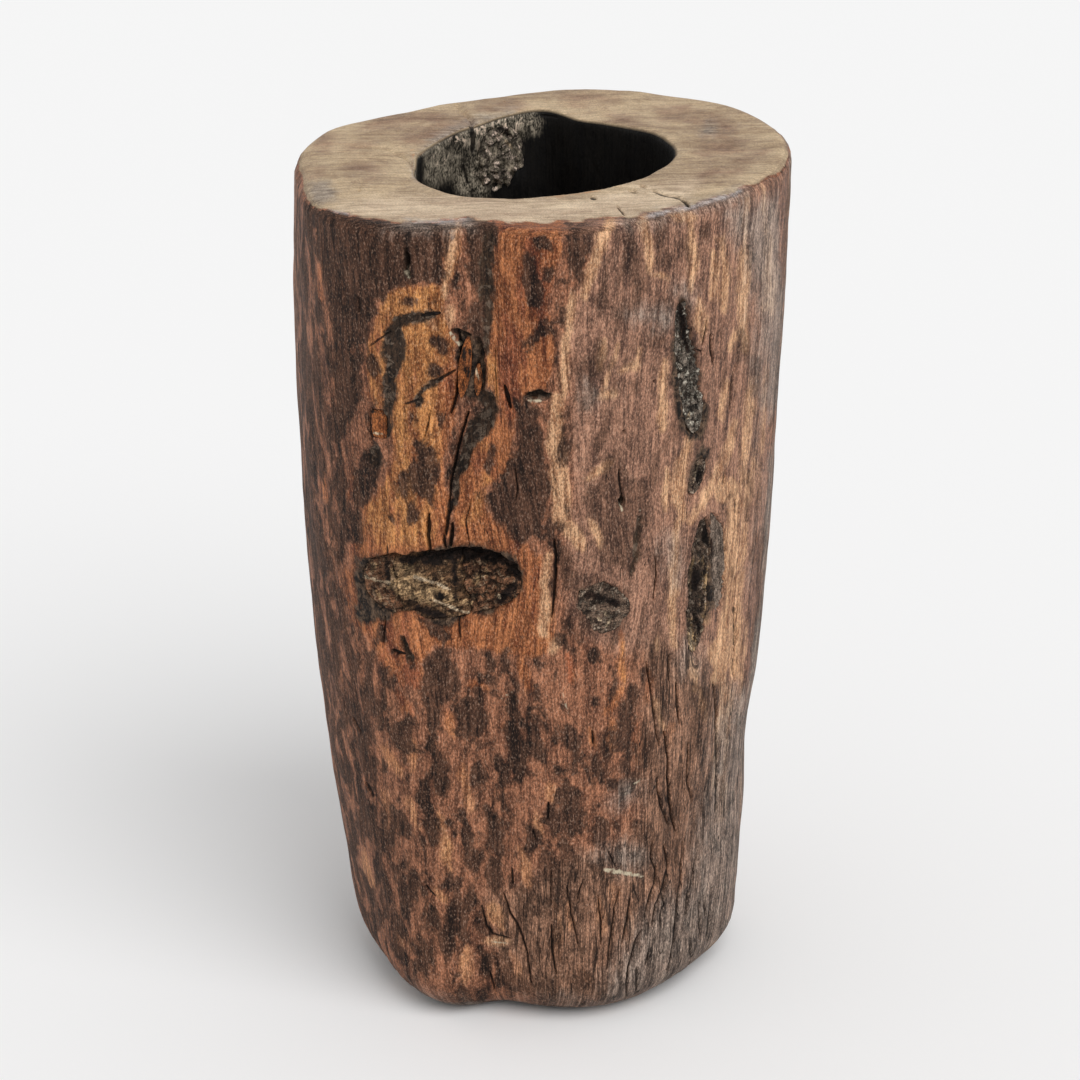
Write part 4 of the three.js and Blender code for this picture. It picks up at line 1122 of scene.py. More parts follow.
def tint(tree, share, first, second, blend="MIX"):
    made = put(tree, "ShaderNodeMix", {MIX_SHARE: share, MIX_FIRST: first, MIX_SECOND: second},
               data_type="RGBA", blend_type=blend)
    return made.outputs[MIX_RESULT]


print("a mix node takes its share from input", MIX_SHARE)


# %% Node groups and kept values
def kept(tree, name, output="Fac"):
    return put(tree, "ShaderNodeAttribute", attribute_name=name).outputs[output]


def new_group(name, inputs, outputs):
    group = bpy.data.node_groups.new(name, "ShaderNodeTree")
    for socket, kind in inputs.items():
        group.interface.new_socket(socket, in_out="INPUT", socket_type=kind)
    for socket, kind in outputs.items():
        group.interface.new_socket(socket, in_out="OUTPUT", socket_type=kind)
    return group, group.nodes.new("NodeGroupInput").outputs, group.nodes.new("NodeGroupOutput").inputs


def use(tree, group, inputs):
    return put(tree, "ShaderNodeGroup", inputs, node_tree=group).outputs


print("kept values of the log:", ", ".join(MARK_NAMES))


# %% Wood grain, as a group
def make_grain():
    """Fibres drawn out along the grain, slower bands, short flecks and pores."""
    group, given, out = new_group("Wood grain", {"Grain place": VECTOR, "Point": VECTOR, "Fineness": FLOAT},
                                  {"Tone": FLOAT, "Fibres": FLOAT, "Flecks": FLOAT, "Shade": FLOAT})

    def fine(scale):
        return times(group, given["Fineness"], scale)

    long_fibres = stretch(group, given["Grain place"], (1, 1, 0.07))
    fibres = cloud(group, long_fibres, fine(620), 4, 0.62, 0.4)
    bands = cloud(group, long_fibres, fine(190), 3, 0.55, 0.8)
    short = stretch(group, given["Point"], (1, 1, 0.5))
    flecks = cloud(group, short, fine(1300), 1, 0.7)
    patches = cloud(group, short, fine(260), 3, 0.6)
    tone = weighted(group, (fibres, 0.27), (bands, 0.23), (flecks, 0.26), (patches, 0.24))
    pores = cloud(group, stretch(group, given["Point"], (1, 1, 0.45)), fine(1350), 2, 0.8)
    shade = weighted(group, (pores, 0.65), (fibres, 0.35))
    group.links.new(ease(group, tone, 0.38, 0.62), out["Tone"])
    group.links.new(fibres, out["Fibres"])
    group.links.new(flecks, out["Flecks"])
    group.links.new(ease(group, shade, 0.39, 0.61, 0.54, 1.46), out["Shade"])
    return group


grain_group = make_grain()
print("group:", grain_group.name)


# %% Ragged edge of a stain, as a group
def make_ragged():
    """A mask from a distance in millimetres, whose edge strays by noise and along the fibres."""
    group, given, out = new_group("Ragged edge", {"Depth": FLOAT, "Point": VECTOR, "Fibres": FLOAT,
                                                  "Ragged": FLOAT, "Soft": FLOAT, "Size": FLOAT},
                                  {"Mask": FLOAT})
    point = stretch(group, given["Point"], (1, 1, 0.55))
    wide = cloud(group, point, calc(group, "DIVIDE", 1000, given["Size"]), 5, 0.68, 0.3)
    along_fibres = times(group, less(group, given["Fibres"], 0.5), 0.6)
    shift = plus(group, less(group, wide, 0.5), along_fibres)
    depth = plus(group, given["Depth"], times(group, times(group, shift, 2.6), given["Ragged"]))
    group.links.new(ease(group, depth, times(group, given["Soft"], -1), given["Soft"]), out["Mask"])
    return group


ragged_group = make_ragged()
print("group:", ragged_group.name)


def ragged_edge(tree, point, fibres, name, ragged, soft, size, inward=0.0):
    """How much of each place a kept mark covers."""
    depth = less(tree, kept(tree, name), inward)
    return use(tree, ragged_group, {"Depth": depth, "Point": point, "Fibres": fibres, "Ragged": ragged,
                                    "Soft": soft, "Size": size})["Mask"]


# %% Fine splits along the grain, as a group
def make_splits():
    """Thin dark lines where a noise drawn out along the fibres passes through its middle value."""
    group, given, out = new_group("Drying splits", {"Grain place": VECTOR, "Amount": FLOAT, "Width": FLOAT,
                                                    "Scale": FLOAT}, {"Mask": FLOAT})
    line_place = stretch(group, given["Grain place"], (1, 1, 0.085))
    lines = cloud(group, line_place, given["Scale"], 2, 0.55, 0.25)
    off_line = calc(group, "ABSOLUTE", less(group, lines, 0.5))
    breaks = cloud(group, stretch(group, given["Grain place"], (1, 1, 0.3)), 120, 2, 0.6)
    width = times(group, given["Width"], ease(group, plus(group, breaks, given["Amount"]), 0.45, 0.75))
    thin = calc(group, "DIVIDE", off_line, calc(group, "MAXIMUM", width, 0.0005))
    group.links.new(ease(group, thin, 1.0, 0.35), out["Mask"])
    return group


split_group = make_splits()
print("group:", split_group.name)


# %% Grit of bark, rot and old dirt, as a group
def make_grit():
    group, given, out = new_group("Grit", {"Point": VECTOR, "Size": FLOAT}, {"Grains": FLOAT, "Lumps": FLOAT})
    lumps = cloud(group, given["Point"], calc(group, "DIVIDE", 600, given["Size"]), 4, 0.65, 0.6)
    cells = put(group, "ShaderNodeTexVoronoi", {"Vector": given["Point"],
                                                "Scale": calc(group, "DIVIDE", 1000, given["Size"])})
    between = times(group, cells.outputs["Distance"], 0.6)
    grains = less(group, ease(group, lumps, 0.42, 0.66), between)
    group.links.new(ease(group, grains, 0.05, 0.5), out["Grains"])
    group.links.new(lumps, out["Lumps"])
    return group


grit_group = make_grit()
print("group:", grit_group.name)

# %% [markdown]
# The log's own material lays its colours over each other in the order in which they came: red-brown
# wood, the mauve skin that weather gave it, bare places, sapwood, dark stains, grey dust that also
# paints a highlight on the rim's edge, and last the cracks. Each colour is a pair, dark and light, and
# the grain chooses between them.

# %% Colours of the log
RED_WOOD = (srgb(84, 52, 38), srgb(172, 116, 86))
BARE_WOOD = (srgb(92, 46, 26), srgb(188, 120, 76))
GOLD_WOOD = (srgb(106, 58, 30), srgb(204, 142, 86))
RUSTY_WOOD = (srgb(74, 34, 24), srgb(160, 92, 64))
MAUVE_SKIN = (srgb(84, 58, 48), srgb(170, 126, 102))
PALE_WOOD = (srgb(144, 98, 68), srgb(216, 172, 132))
WEATHERED_WOOD = (srgb(88, 66, 54), srgb(172, 130, 104))
DARK_STAIN = (srgb(10, 6, 5), srgb(88, 61, 47))
SHEEN = srgb(178, 172, 170)
DUST_SPECK = srgb(176, 152, 134)
GREY_DUST_AND_SHEEN = (srgb(70, 62, 57), srgb(176, 164, 152))
GROOVE_WOOD = (srgb(14, 10, 8), srgb(72, 54, 41))
GROOVE_FLECK = srgb(112, 96, 82)
CRUST = (srgb(22, 15, 11), srgb(96, 76, 60))
# Dark of cracks and splits; the held pieces also use it for painted shade.
CRACK_DIRT_AND_SHADE = srgb(14, 9, 7)
SUNK_DIRT_AND_SHADE = srgb(24, 17, 13)
SCRAPED = srgb(196, 182, 156)
RIM_WOOD = (srgb(134, 110, 88), srgb(208, 184, 150))
RIM_WORN_WOOD = (srgb(166, 140, 116), srgb(226, 204, 174))
RIM_STAIN = (srgb(96, 72, 60), srgb(162, 128, 106))
RIM_ORANGE = srgb(206, 140, 84)
# Near black: painted shade deep in the hollow.
DEEP_HOLLOW_SHADE = (srgb(4, 3, 3), srgb(20, 17, 14))
HOLLOW_CRUST = (srgb(34, 31, 25), srgb(198, 184, 162))
CRUMBS = srgb(236, 212, 188)
SPECULAR = 0.16


def new_material(name):
    made = bpy.data.materials.new(name)
    made.use_nodes = True
    tree = made.node_tree
    shader = tree.nodes["Principled BSDF"]
    point = put(tree, "ShaderNodeTexCoord").outputs["Object"]
    return made, tree, shader, point


def raised(tree, height, distance, strength=1.0):
    bump = put(tree, "ShaderNodeBump", {"Height": height, "Distance": distance, "Strength": strength})
    return bump.outputs[0]


print("colours of the log's wood, dark and light:", [round(shade[0], 2) for shade in RED_WOOD])


# %% Everything that the log's layers share
class LogLayers:
    """The node tree of the log's material, with the values that more than one layer reads."""

    def __init__(self, tree, point):
        self.tree, self.point = tree, point
        self.place = kept(tree, "grain_at", "Vector")
        self.grain = use(tree, grain_group, {"Grain place": self.place, "Point": point, "Fineness": 1.0})
        self.tone = self.grain["Tone"]
        self.grit = use(tree, grit_group, {"Point": point, "Size": 2.6})
        self.height = put(tree, "ShaderNodeSeparateXYZ", {0: point}).outputs["Z"]
        mottle = cloud(tree, stretch(tree, point, (1, 1, 0.5)), 95, 6, 0.62, 0.5)
        self.mottle = less(tree, mottle, 0.5)
        self.weathered = self.edge("split", 8, 8, 20)
        self.mauve = self.edge("mauve", 7, 5, 22)
        self.crack = self.edge("crack", 0.12, 0.26, 3, 0.26)
        self.stained = self.find_stain()
        self.splits = self.find_splits()

    def edge(self, name, ragged, soft, size, inward=0.0):
        return ragged_edge(self.tree, self.point, self.grain["Fibres"], name, ragged, soft, size, inward)

    def pair(self, colours):
        return tint(self.tree, self.tone, *colours)

    def lay(self, under, share, over, strength=1.0):
        """A layer over what is there, as far as share covers it."""
        share = share if strength == 1.0 else times(self.tree, share, strength)
        return tint(self.tree, share, under, over)

    def find_stain(self):
        """Where dark stains and small mottling show, by whichever of the two is stronger."""
        tree = self.tree
        known = calc(tree, "MINIMUM", times(tree, kept(tree, "dark"), 0.32), 1.3)
        score = calc(tree, "MAXIMUM", known, kept(tree, "mottle"))
        score = plus(tree, score, times(tree, self.mottle, 7.0))
        score = plus(tree, score, times(tree, less(tree, self.grain["Fibres"], 0.5), 1.6))
        return ease(tree, score, -0.42, 0.45)

    def find_splits(self):
        """Drying splits: a few long ones, and many fine ones where the wood is weathered."""
        tree = self.tree
        long_amount = ease(tree, kept(tree, "split"), -6, 8, -0.12, 0.16)
        long_splits = use(tree, split_group, {"Grain place": self.place, "Amount": long_amount,
                                              "Width": 0.022, "Scale": 210})["Mask"]
        fine_amount = ease(tree, self.weathered, 0, 1, -0.2, 0.25)
        fine_splits = use(tree, split_group, {"Grain place": self.place, "Amount": fine_amount,
                                              "Width": 0.05, "Scale": 520})["Mask"]
        return calc(tree, "MAXIMUM", long_splits, times(tree, fine_splits, 0.55))


print("the layers share their grain and", grit_group.name)

# %% [markdown]
# The wall is the richest part. Its fresh wood shows only where the skin has been rubbed or cut away, so
# bare places are laid over the skin, and stains, dust and crusts over both.

# %% Colour of the wall
def bare_wood(layers):
    """Wood under the skin: golden where it is freshest, rusty in patches and paler near the foot."""
    tree = layers.tree
    hue = cloud(tree, stretch(tree, layers.point, (1, 1, 0.3)), 70, 4, 0.6)
    wood = layers.lay(layers.pair(BARE_WOOD), layers.edge("gold", 6, 4, 9), layers.pair(GOLD_WOOD))
    wood = layers.lay(wood, ease(tree, hue, 0.5, 0.66, 0.0, 0.75), layers.pair(RUSTY_WOOD))
    low_down = ease(tree, layers.height, 0.2, 0.12, 0.0, 0.4)
    return layers.lay(wood, low_down, layers.pair(PALE_WOOD))


def wall_colour(layers):
    tree, grain, grit = layers.tree, layers.grain, layers.grit
    wall = layers.lay(layers.pair(RED_WOOD), layers.mauve, layers.pair(MAUVE_SKIN))
    wall = layers.lay(wall, layers.weathered, layers.pair(WEATHERED_WOOD), 0.8)
    sound = less(tree, 1, times(tree, layers.weathered, 0.55))
    wall = layers.lay(wall, times(tree, layers.edge("bare", 3, 1.6, 12), sound), bare_wood(layers))
    wall = layers.lay(wall, layers.edge("pale", 1.8, 1.6, 9), layers.pair(PALE_WOOD), 0.9)
    faded = calc(tree, "MAXIMUM", layers.mauve, layers.weathered)
    stain_share = less(tree, 0.94, times(tree, faded, 0.36))
    wall = layers.lay(wall, times(tree, layers.stained, stain_share), layers.pair(DARK_STAIN))
    # Grey dust, which along the rim's front edge is a painted highlight.
    wall = layers.lay(wall, layers.edge("grey", 9, 8, 14), layers.pair(GREY_DUST_AND_SHEEN), 0.6)
    wall = layers.lay(wall, ease(tree, grain["Flecks"], 0.56, 0.7, 0.0, 0.24), DUST_SPECK)
    groove_wood = layers.lay(layers.pair(GROOVE_WOOD), grit["Grains"], GROOVE_FLECK, 0.6)
    wall = layers.lay(wall, layers.edge("groove", 2.2, 1.0, 4), groove_wood)
    wall = layers.lay(wall, layers.edge("crust", 5, 4, 12), layers.pair(DARK_STAIN), 0.45)
    crust = tint(tree, ease(tree, grit["Lumps"], 0.4, 0.62), *CRUST)
    wall = layers.lay(wall, layers.edge("crust", 3, 1.4, 5, 0.3), crust)
    return layers.lay(wall, layers.splits, CRACK_DIRT_AND_SHADE, 0.8)


print("freshest wood, light side:", [round(value, 2) for value in GOLD_WOOD[1]])

# %% [markdown]
# The sawn top is end grain, paler than the wall, blotched and worn by hands. The hollow is painted near
# black, as the shade deep inside it, and pale and crumbly where the wood has decayed near its mouth.

# %% Colours of the sawn top and of the hollow
def top_colour(layers):
    """End grain, blotched by handling, with worn places, stains, grey dust and a painted highlight."""
    tree = layers.tree
    blotch = cloud(tree, stretch(tree, layers.point, (0.6, 1, 1)), 45, 5, 0.6, 0.3)
    tone = plus(tree, times(tree, layers.tone, 0.5), ease(tree, blotch, 0.36, 0.64, 0.05, 0.45))
    worn = tint(tree, tone, *RIM_WORN_WOOD)
    top = layers.lay(tint(tree, tone, *RIM_WOOD), layers.edge("bare", 6, 5, 16), worn)
    top = layers.lay(top, layers.edge("dark", 6, 5, 12), tint(tree, tone, *RIM_STAIN), 0.8)
    top = layers.lay(top, layers.edge("pale", 0.8, 0.8, 5), RIM_ORANGE, 0.5)
    return layers.lay(top, layers.edge("grey", 3, 3, 8), layers.pair(GREY_DUST_AND_SHEEN), 0.7)


def hollow_colour(layers):
    """Wood painted near black as the shade deep in the hollow, pale and crumbly near the mouth."""
    tree = layers.tree
    crumbly = weighted(tree, (layers.grit["Lumps"], 0.5), (layers.grain["Flecks"], 0.5))
    crust = tint(tree, ease(tree, crumbly, 0.38, 0.66), *HOLLOW_CRUST)
    hollow = layers.lay(layers.pair(DEEP_HOLLOW_SHADE), layers.edge("pale", 6, 5, 12), crust)
    return layers.lay(hollow, times(tree, layers.edge("scrape", 3, 2.5, 4), layers.grit["Grains"]), CRUMBS)


print("painted shade deep in the hollow, light side:", [round(value, 3) for value in DEEP_HOLLOW_SHADE[1]])


# %% Material of the log
def make_log_wood():
    made, tree, shader, point = new_material("weathered_log")
    layers = LogLayers(tree, point)
    inside, flecks = kept(tree, "inside"), layers.grain["Flecks"]
    turn = plus(tree, kept(tree, "turned_up"), times(tree, layers.mottle, 4.0))
    top_share = ease(tree, turn, -0.5, 0.7)
    colour = layers.lay(wall_colour(layers), top_share, top_colour(layers))
    colour = layers.lay(colour, inside, hollow_colour(layers))
    # Painted highlight along the rim's front edge.
    colour = layers.lay(colour, layers.edge("sheen", 1.6, 1.3, 4, 0.2), SHEEN, 0.7)

    shade = layers.grain["Shade"]
    smoother = times(tree, times(tree, top_share, 0.5), less(tree, 1, shade))
    # Painted shade: the colour darkens over the lowest 35 mm, where the foot meets the floor.
    foot_shade = ease(tree, layers.height, 0.0, 0.035, 0.72, 1.0)
    shade = times(tree, plus(tree, shade, smoother), foot_shade)
    colour = tint(tree, 1.0, colour, shade, "MULTIPLY")
    # Dirt and painted shade: the deeper a pocket, cut or crack is sunk, the darker its colour.
    pit_dirt_and_shade = ease(tree, kept(tree, "sunk"), 1.0, 5.0)
    colour = layers.lay(colour, pit_dirt_and_shade, SUNK_DIRT_AND_SHADE, 0.75)
    colour = layers.lay(colour, layers.crack, CRACK_DIRT_AND_SHADE, 0.92)
    scrape = times(tree, layers.edge("scrape", 0.7, 0.4, 3, 0.1), less(tree, 1, inside))
    colour = layers.lay(colour, scrape, SCRAPED)

    rough = ease(tree, flecks, 0.3, 0.7, 0.5, 0.72)
    rough = plus(tree, rough, times(tree, calc(tree, "MAXIMUM", pit_dirt_and_shade, layers.stained), 0.14))
    height = weighted(tree, (layers.grain["Fibres"], 0.8), (flecks, 0.35), (layers.mottle, 1.6))
    gaps = calc(tree, "MAXIMUM", layers.crack, layers.splits)
    height = less(tree, height, times(tree, gaps, 1.2))
    tree.links.new(colour, shader.inputs["Base Color"])
    tree.links.new(rough, shader.inputs["Roughness"])
    tree.links.new(raised(tree, height, 0.0009, 0.7), shader.inputs["Normal"])
    shader.inputs["Specular IOR Level"].default_value = SPECULAR
    return made


log_wood = make_log_wood()
hollowed_log.data.materials.append(log_wood)
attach(hollowed_log, "root")
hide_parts("pot_body")
print("material:", log_wood.name, "with", len(log_wood.node_tree.nodes), "nodes")

# %% [markdown]
# A held piece is a plug with a rough face. It starts as a flat grid, which is extruded into a closed
# block, and the block is then bent into place: its outline follows the pocket, its face lies below the
# wall by the piece's own sink, and its back goes into the wood. Ridges along the fibres and lumps of
# grit are moved into the face.

# %% Place of a held piece on the wall
def wall_place(piece, across, upward, drop):
    """Points in space for places on a piece, a depth below the skin, and their height on the piece."""
    inside = piece.get("inside")
    facing = -1 if inside else 1
    lean = math.radians(piece["lean"])
    u = across * math.cos(lean) + upward * math.sin(lean)
    v = upward * math.cos(lean) - across * math.sin(lean)
    z = POT_HEIGHT - piece["down"] + v
    skin_radius = cavity_radius if inside else wall_radius
    middle = np.full(len(u), float(piece["azimuth"]))
    along = skin_radius(middle, z)
    for _ in range(4):
        azimuth = middle + facing * np.degrees(np.arctan2(u, along))
        along = np.sqrt(skin_radius(azimuth, z) ** 2 - u ** 2)
    along = along - facing * drop
    turn = math.radians(piece["azimuth"])
    out = np.array([math.cos(turn), math.sin(turn), 0])
    right = np.array([-math.sin(turn), math.cos(turn), 0]) * facing
    return along[:, None] * out + u[:, None] * right + z[:, None] * np.array([0, 0, 1]), v


centre_place, _ = wall_place(HELD["centre_knot"], np.zeros(1), np.zeros(1), 0)
print("middle of the centre knot, millimetres:", [round(float(value), 1) for value in centre_place[0]])


# %% Bend a block into a plug
COVERED_DROP, COVERED_FROM, COVERED_TO = 2.2, -0.5, -3.5
NEAR_END, FIT, BACK_TAPER = 0.985, 0.985, 0.85
RIDGE_SIZE, RIDGE_STRETCH = 2.2, 0.16
BREAK_WOBBLE, BREAK_SIZE = 1.1, 7
EDGE_RELIEF, INNER_RELIEF = 0.4, 0.6
CRUMB_GAIN, CRUMB_LEVEL = 2.2, 0.6


def plug_block(cells):
    """A flat grid extruded into a closed block, whose front face lies at a height of one."""
    block = bmesh.new()
    bmesh.ops.create_grid(block, x_segments=cells[0], y_segments=cells[1], size=1)
    face = bmesh.ops.extrude_face_region(block, geom=block.faces[:])
    raised_verts = [part for part in face["geom"] if isinstance(part, bmesh.types.BMVert)]
    bmesh.ops.translate(block, verts=raised_verts, vec=(0, 0, 1))
    block.verts.index_update()
    return block


def is_upright(piece):
    return piece["tall"] > piece["width"]


def plug_outline(piece, grid, span):
    """Places of the grid on the piece, across and upward, and which of them lie along a crack."""
    power = piece.get("power", OUTLINE_POWER)
    low, high = span
    s = low + (high - low) * (grid[:, 0] + 1) / 2
    t = grid[:, 1]
    if is_upright(piece):
        t = np.clip(t, -NEAR_END, NEAR_END)
        s = s * (1 - np.abs(t) ** power) ** (1 / power)
    else:
        s = np.clip(s, -NEAR_END, NEAR_END)
        t = t * (1 - np.abs(s) ** power) ** (1 / power)
    broken = (np.abs(grid[:, 0]) > 0.99) & (np.abs(s) < 0.9) & (not is_upright(piece))
    return FIT * s * piece["width"] / 2, FIT * t * piece["tall"] / 2, broken


def along_and_cross(piece, flat, slant):
    """Places along the piece's fibres and across them."""
    tilted = math.radians(slant)
    along = flat[:, 0] * math.cos(tilted) - flat[:, 1] * math.sin(tilted)
    cross = flat[:, 0] * math.sin(tilted) + flat[:, 1] * math.cos(tilted)
    return (cross, along) if is_upright(piece) else (along, cross)


print("a plug fills", FIT, "of the width of its pocket")


# %% Build a held piece
def held_piece(name, node, material, marks, cells, ridges, lumps, lump_size, bulge, span=(-1, 1),
               slant=0.0):
    """Ridges, lumps and bulge are millimetres of relief on the face; span is a stretch of its width."""
    pocket = node if node in HELD else "front_knot"
    piece = HELD[pocket]
    block = plug_block(cells)
    grid = np.array([vert.co[:] for vert in block.verts])
    across, upward, broken = plug_outline(piece, grid, span)
    flat = np.stack([across, upward, np.zeros(len(grid))], axis=1)
    across = across + BREAK_WOBBLE * noise_field(flat * (0, 1, 1), BREAK_SIZE, 4, 3) * broken

    seed = sum(map(ord, name)) % 97
    along, cross = along_and_cross(piece, flat, slant)
    fibre = np.stack([RIDGE_STRETCH * along, cross, flat[:, 2]], axis=1)
    crumbs = CRUMB_GAIN * np.abs(noise_field(flat, lump_size, seed + 2, 4)) - CRUMB_LEVEL
    relief = ridges * noise_field(fibre, RIDGE_SIZE, seed + 1, 3) + lumps * crumbs
    rim = outline_share(piece, across, upward)
    inner = soft_step(1.0, 0.7, rim)
    relief = relief * (EDGE_RELIEF + INNER_RELIEF * inner) + bulge * inner

    front_face = grid[:, 2] > 0.5
    taper = np.where(front_face, 1, BACK_TAPER)
    _, v = wall_place(piece, across, upward, 0)
    drop = np.where(front_face, face_drop(piece, v) - relief, piece["depth"])
    points, _ = wall_place(piece, across * taper, upward * taper, drop)
    covered = 1 - opened(pocket, strayed(points)[0], COVERED_TO, COVERED_FROM)
    drop = drop + COVERED_DROP * covered * front_face
    points, _ = wall_place(piece, across * taper, upward * taper, drop)

    made = finish_mesh(block, name, points)
    store(made.data, "grain_at", np.stack([cross * MM, drop * MM, along * MM], axis=1), "FLOAT_VECTOR")
    store(made.data, "rim", rim)
    store(made.data, "relief", relief)
    seen = to_photo(points)
    for mark in ("pale", "gold", "dark"):
        depth = deepest(seen, marks.get(mark, []), marks.get(mark + "_areas", []))
        store(made.data, mark, np.where(front_face, depth, FAR) * MM_PER_PIXEL)
    made.data.materials.append(material)
    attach(made, "root")
    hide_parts(node)
    print(name + ":", len(made.data.polygons), "faces")


# %% [markdown]
# The held pieces share one way to be coloured: fibres between a dark and a light colour, grit on top,
# dirt in patches, and painted shade in the hollows of the face and round its rim. Seven woods and barks
# differ only in the values.

# %% Woods of the held pieces
GOLDEN_FIBRE = (srgb(88, 62, 42), srgb(208, 172, 128))
BLACK_FIBRE_AND_SHADOW = (srgb(14, 9, 7), srgb(48, 34, 27))
PALE_FIBRE = srgb(200, 176, 146)
HELD_FINENESS, MARK_SIZE = 1.3, 4


def make_held_wood(name, colours, grit_colour, grit_share, grit_size, bump, roughness, relief_shade=0.75, dirt=0.7):
    made, tree, shader, point = new_material(name)
    grain = use(tree, grain_group, {"Grain place": kept(tree, "grain_at", "Vector"), "Point": point,
                                    "Fineness": HELD_FINENESS})
    grit = use(tree, grit_group, {"Point": point, "Size": grit_size})

    def edge(mark, ragged, soft):
        return ragged_edge(tree, point, grain["Fibres"], mark, ragged, soft, MARK_SIZE)

    colour = tint(tree, grain["Tone"], *colours)
    colour = tint(tree, edge("gold", 5, 1.2), colour, tint(tree, grain["Tone"], *GOLDEN_FIBRE))
    colour = tint(tree, times(tree, grit["Grains"], grit_share), colour, grit_colour)
    # Dark fibres, and painted shadow where the marks run under an overhanging edge.
    colour = tint(tree, edge("dark", 3, 0.8), colour, tint(tree, grain["Tone"], *BLACK_FIBRE_AND_SHADOW))
    colour = tint(tree, edge("pale", 1.2, 0.4), colour, PALE_FIBRE)
    patches = cloud(tree, point, 210, 4, 0.65, 0.4)
    colour = tint(tree, ease(tree, patches, 0.47, 0.6, 0.0, dirt), colour, CRACK_DIRT_AND_SHADE)
    # Painted shade: the low places of the face and its outline are darkened.
    low = ease(tree, kept(tree, "relief"), -0.2, -1.6)
    colour = tint(tree, times(tree, low, relief_shade), colour, CRACK_DIRT_AND_SHADE)
    colour = tint(tree, 1.0, colour, grain["Shade"], "MULTIPLY")
    colour = tint(tree, ease(tree, kept(tree, "rim"), 0.98, 1.0), colour, CRACK_DIRT_AND_SHADE)
    height = plus(tree, times(tree, grain["Fibres"], 0.6), grit["Grains"])
    tree.links.new(colour, shader.inputs["Base Color"])
    tree.links.new(raised(tree, height, bump), shader.inputs["Normal"])
    shader.inputs["Roughness"].default_value = roughness
    shader.inputs["Specular IOR Level"].default_value = SPECULAR
    return made


DEAD_KNOT = make_held_wood("dead_knot_wood", (srgb(30, 18, 13), srgb(150, 106, 78)), srgb(178, 148, 120),
                           grit_share=0.6, grit_size=1.7, bump=0.0018, roughness=0.8)
BROKEN_KNOT = make_held_wood("broken_knot_wood", (srgb(28, 18, 13), srgb(130, 96, 68)), srgb(164, 132, 100),
                             grit_share=0.5, grit_size=1.8, bump=0.0016, roughness=0.75)
GREY_KNOT = make_held_wood("grey_knot_wood", (srgb(40, 30, 25), srgb(140, 116, 98)), srgb(188, 168, 148),
                           grit_share=0.6, grit_size=1.7, bump=0.0014, roughness=0.85, relief_shade=0.6)
BARK = make_held_wood("bark_crust", (srgb(38, 33, 29), srgb(152, 138, 124)), srgb(220, 210, 192),
                      grit_share=0.85, grit_size=1.3, bump=0.0016, roughness=0.9, relief_shade=0.6)
OLD_BARK = make_held_wood("old_bark", (srgb(68, 57, 50), srgb(158, 138, 122)), srgb(180, 162, 146),
                          grit_share=0.35, grit_size=1.6, bump=0.0012, roughness=0.9, dirt=0.35)
SPLIT_WOOD = make_held_wood("split_wood", (srgb(84, 42, 22), srgb(190, 116, 66)), srgb(150, 96, 60),
                            grit_share=0.2, grit_size=2.0, bump=0.0006, roughness=0.7, dirt=0.3)
ROTTEN_WOOD = make_held_wood("rotten_wood", (srgb(36, 32, 27), srgb(172, 158, 138)), srgb(240, 216, 196),
                             grit_share=0.9, grit_size=2.2, bump=0.002, roughness=0.95)
print("seven woods for the held pieces")

# %% [markdown]
# The large knot is one dead branch end that drying has split in three. Its left part is dark, its middle
# has broken down to pale fibres and its right part stands up in dark lumps.

# %% The large knot in three parts
HALF_KNOT = HELD["front_knot"]["width"] / 2
LEFT_CRACK, RIGHT_CRACK, HALF_CRACK = -19.7 / HALF_KNOT, 12.9 / HALF_KNOT, 0.35 / HALF_KNOT
KNOT_SLANT = -14
KNOT_MARKS = {
    "pale": [(3, 414, 577, 436, 583, 451, 590), (3, 430, 599, 446, 605, 458, 610),
             (2.6, 458, 610, 472, 614, 486, 617), (2.4, 362, 576, 376, 580, 390, 583),
             (2.6, 498, 594, 500, 598), (2.4, 482, 575, 486, 580)],
    "gold": [(5, 372, 566, 376, 567), (5, 377, 594, 380, 596), (5, 464, 601, 468, 603),
             (5, 474, 582, 486, 574), (6, 396, 566, 412, 566)],
    "gold_areas": [(388, 570, 402, 568, 420, 574, 440, 582, 453, 590, 458, 600, 448, 606, 430, 602,
                    410, 600, 396, 594, 388, 586)],
    # The dark strokes along the knot's top edge are painted shadow of the wall that hangs over it.
    "dark": [(9, 400, 560, 425, 559, 440, 562), (16, 425, 556, 450, 552, 480, 552, 508, 559, 520, 576),
             (10, 360, 586, 366, 612), (10, 372, 608, 390, 612), (9, 416, 608, 446, 618),
             (5, 454, 556, 456, 600), (5, 386, 556, 388, 584), (10, 500, 600, 516, 584),
             (8, 436, 596, 444, 598), (8, 356, 566, 366, 564)],
}
held_piece("knot_left", "front_knot_left", DEAD_KNOT, KNOT_MARKS, cells=(30, 44), ridges=1.0,
           lumps=1.2, lump_size=4, bulge=0.3, span=(-1, LEFT_CRACK - HALF_CRACK), slant=KNOT_SLANT)
held_piece("knot_middle", "front_knot_middle", BROKEN_KNOT, KNOT_MARKS, cells=(44, 44),
           ridges=1.4, lumps=1.0, lump_size=5, bulge=0.2,
           span=(LEFT_CRACK + HALF_CRACK, RIGHT_CRACK - HALF_CRACK), slant=KNOT_SLANT)
held_piece("knot_right", "front_knot_right", DEAD_KNOT, KNOT_MARKS, cells=(36, 44), ridges=0.9,
           lumps=3.2, lump_size=7, bulge=0.2, span=(RIGHT_CRACK + HALF_CRACK, 1), slant=KNOT_SLANT)

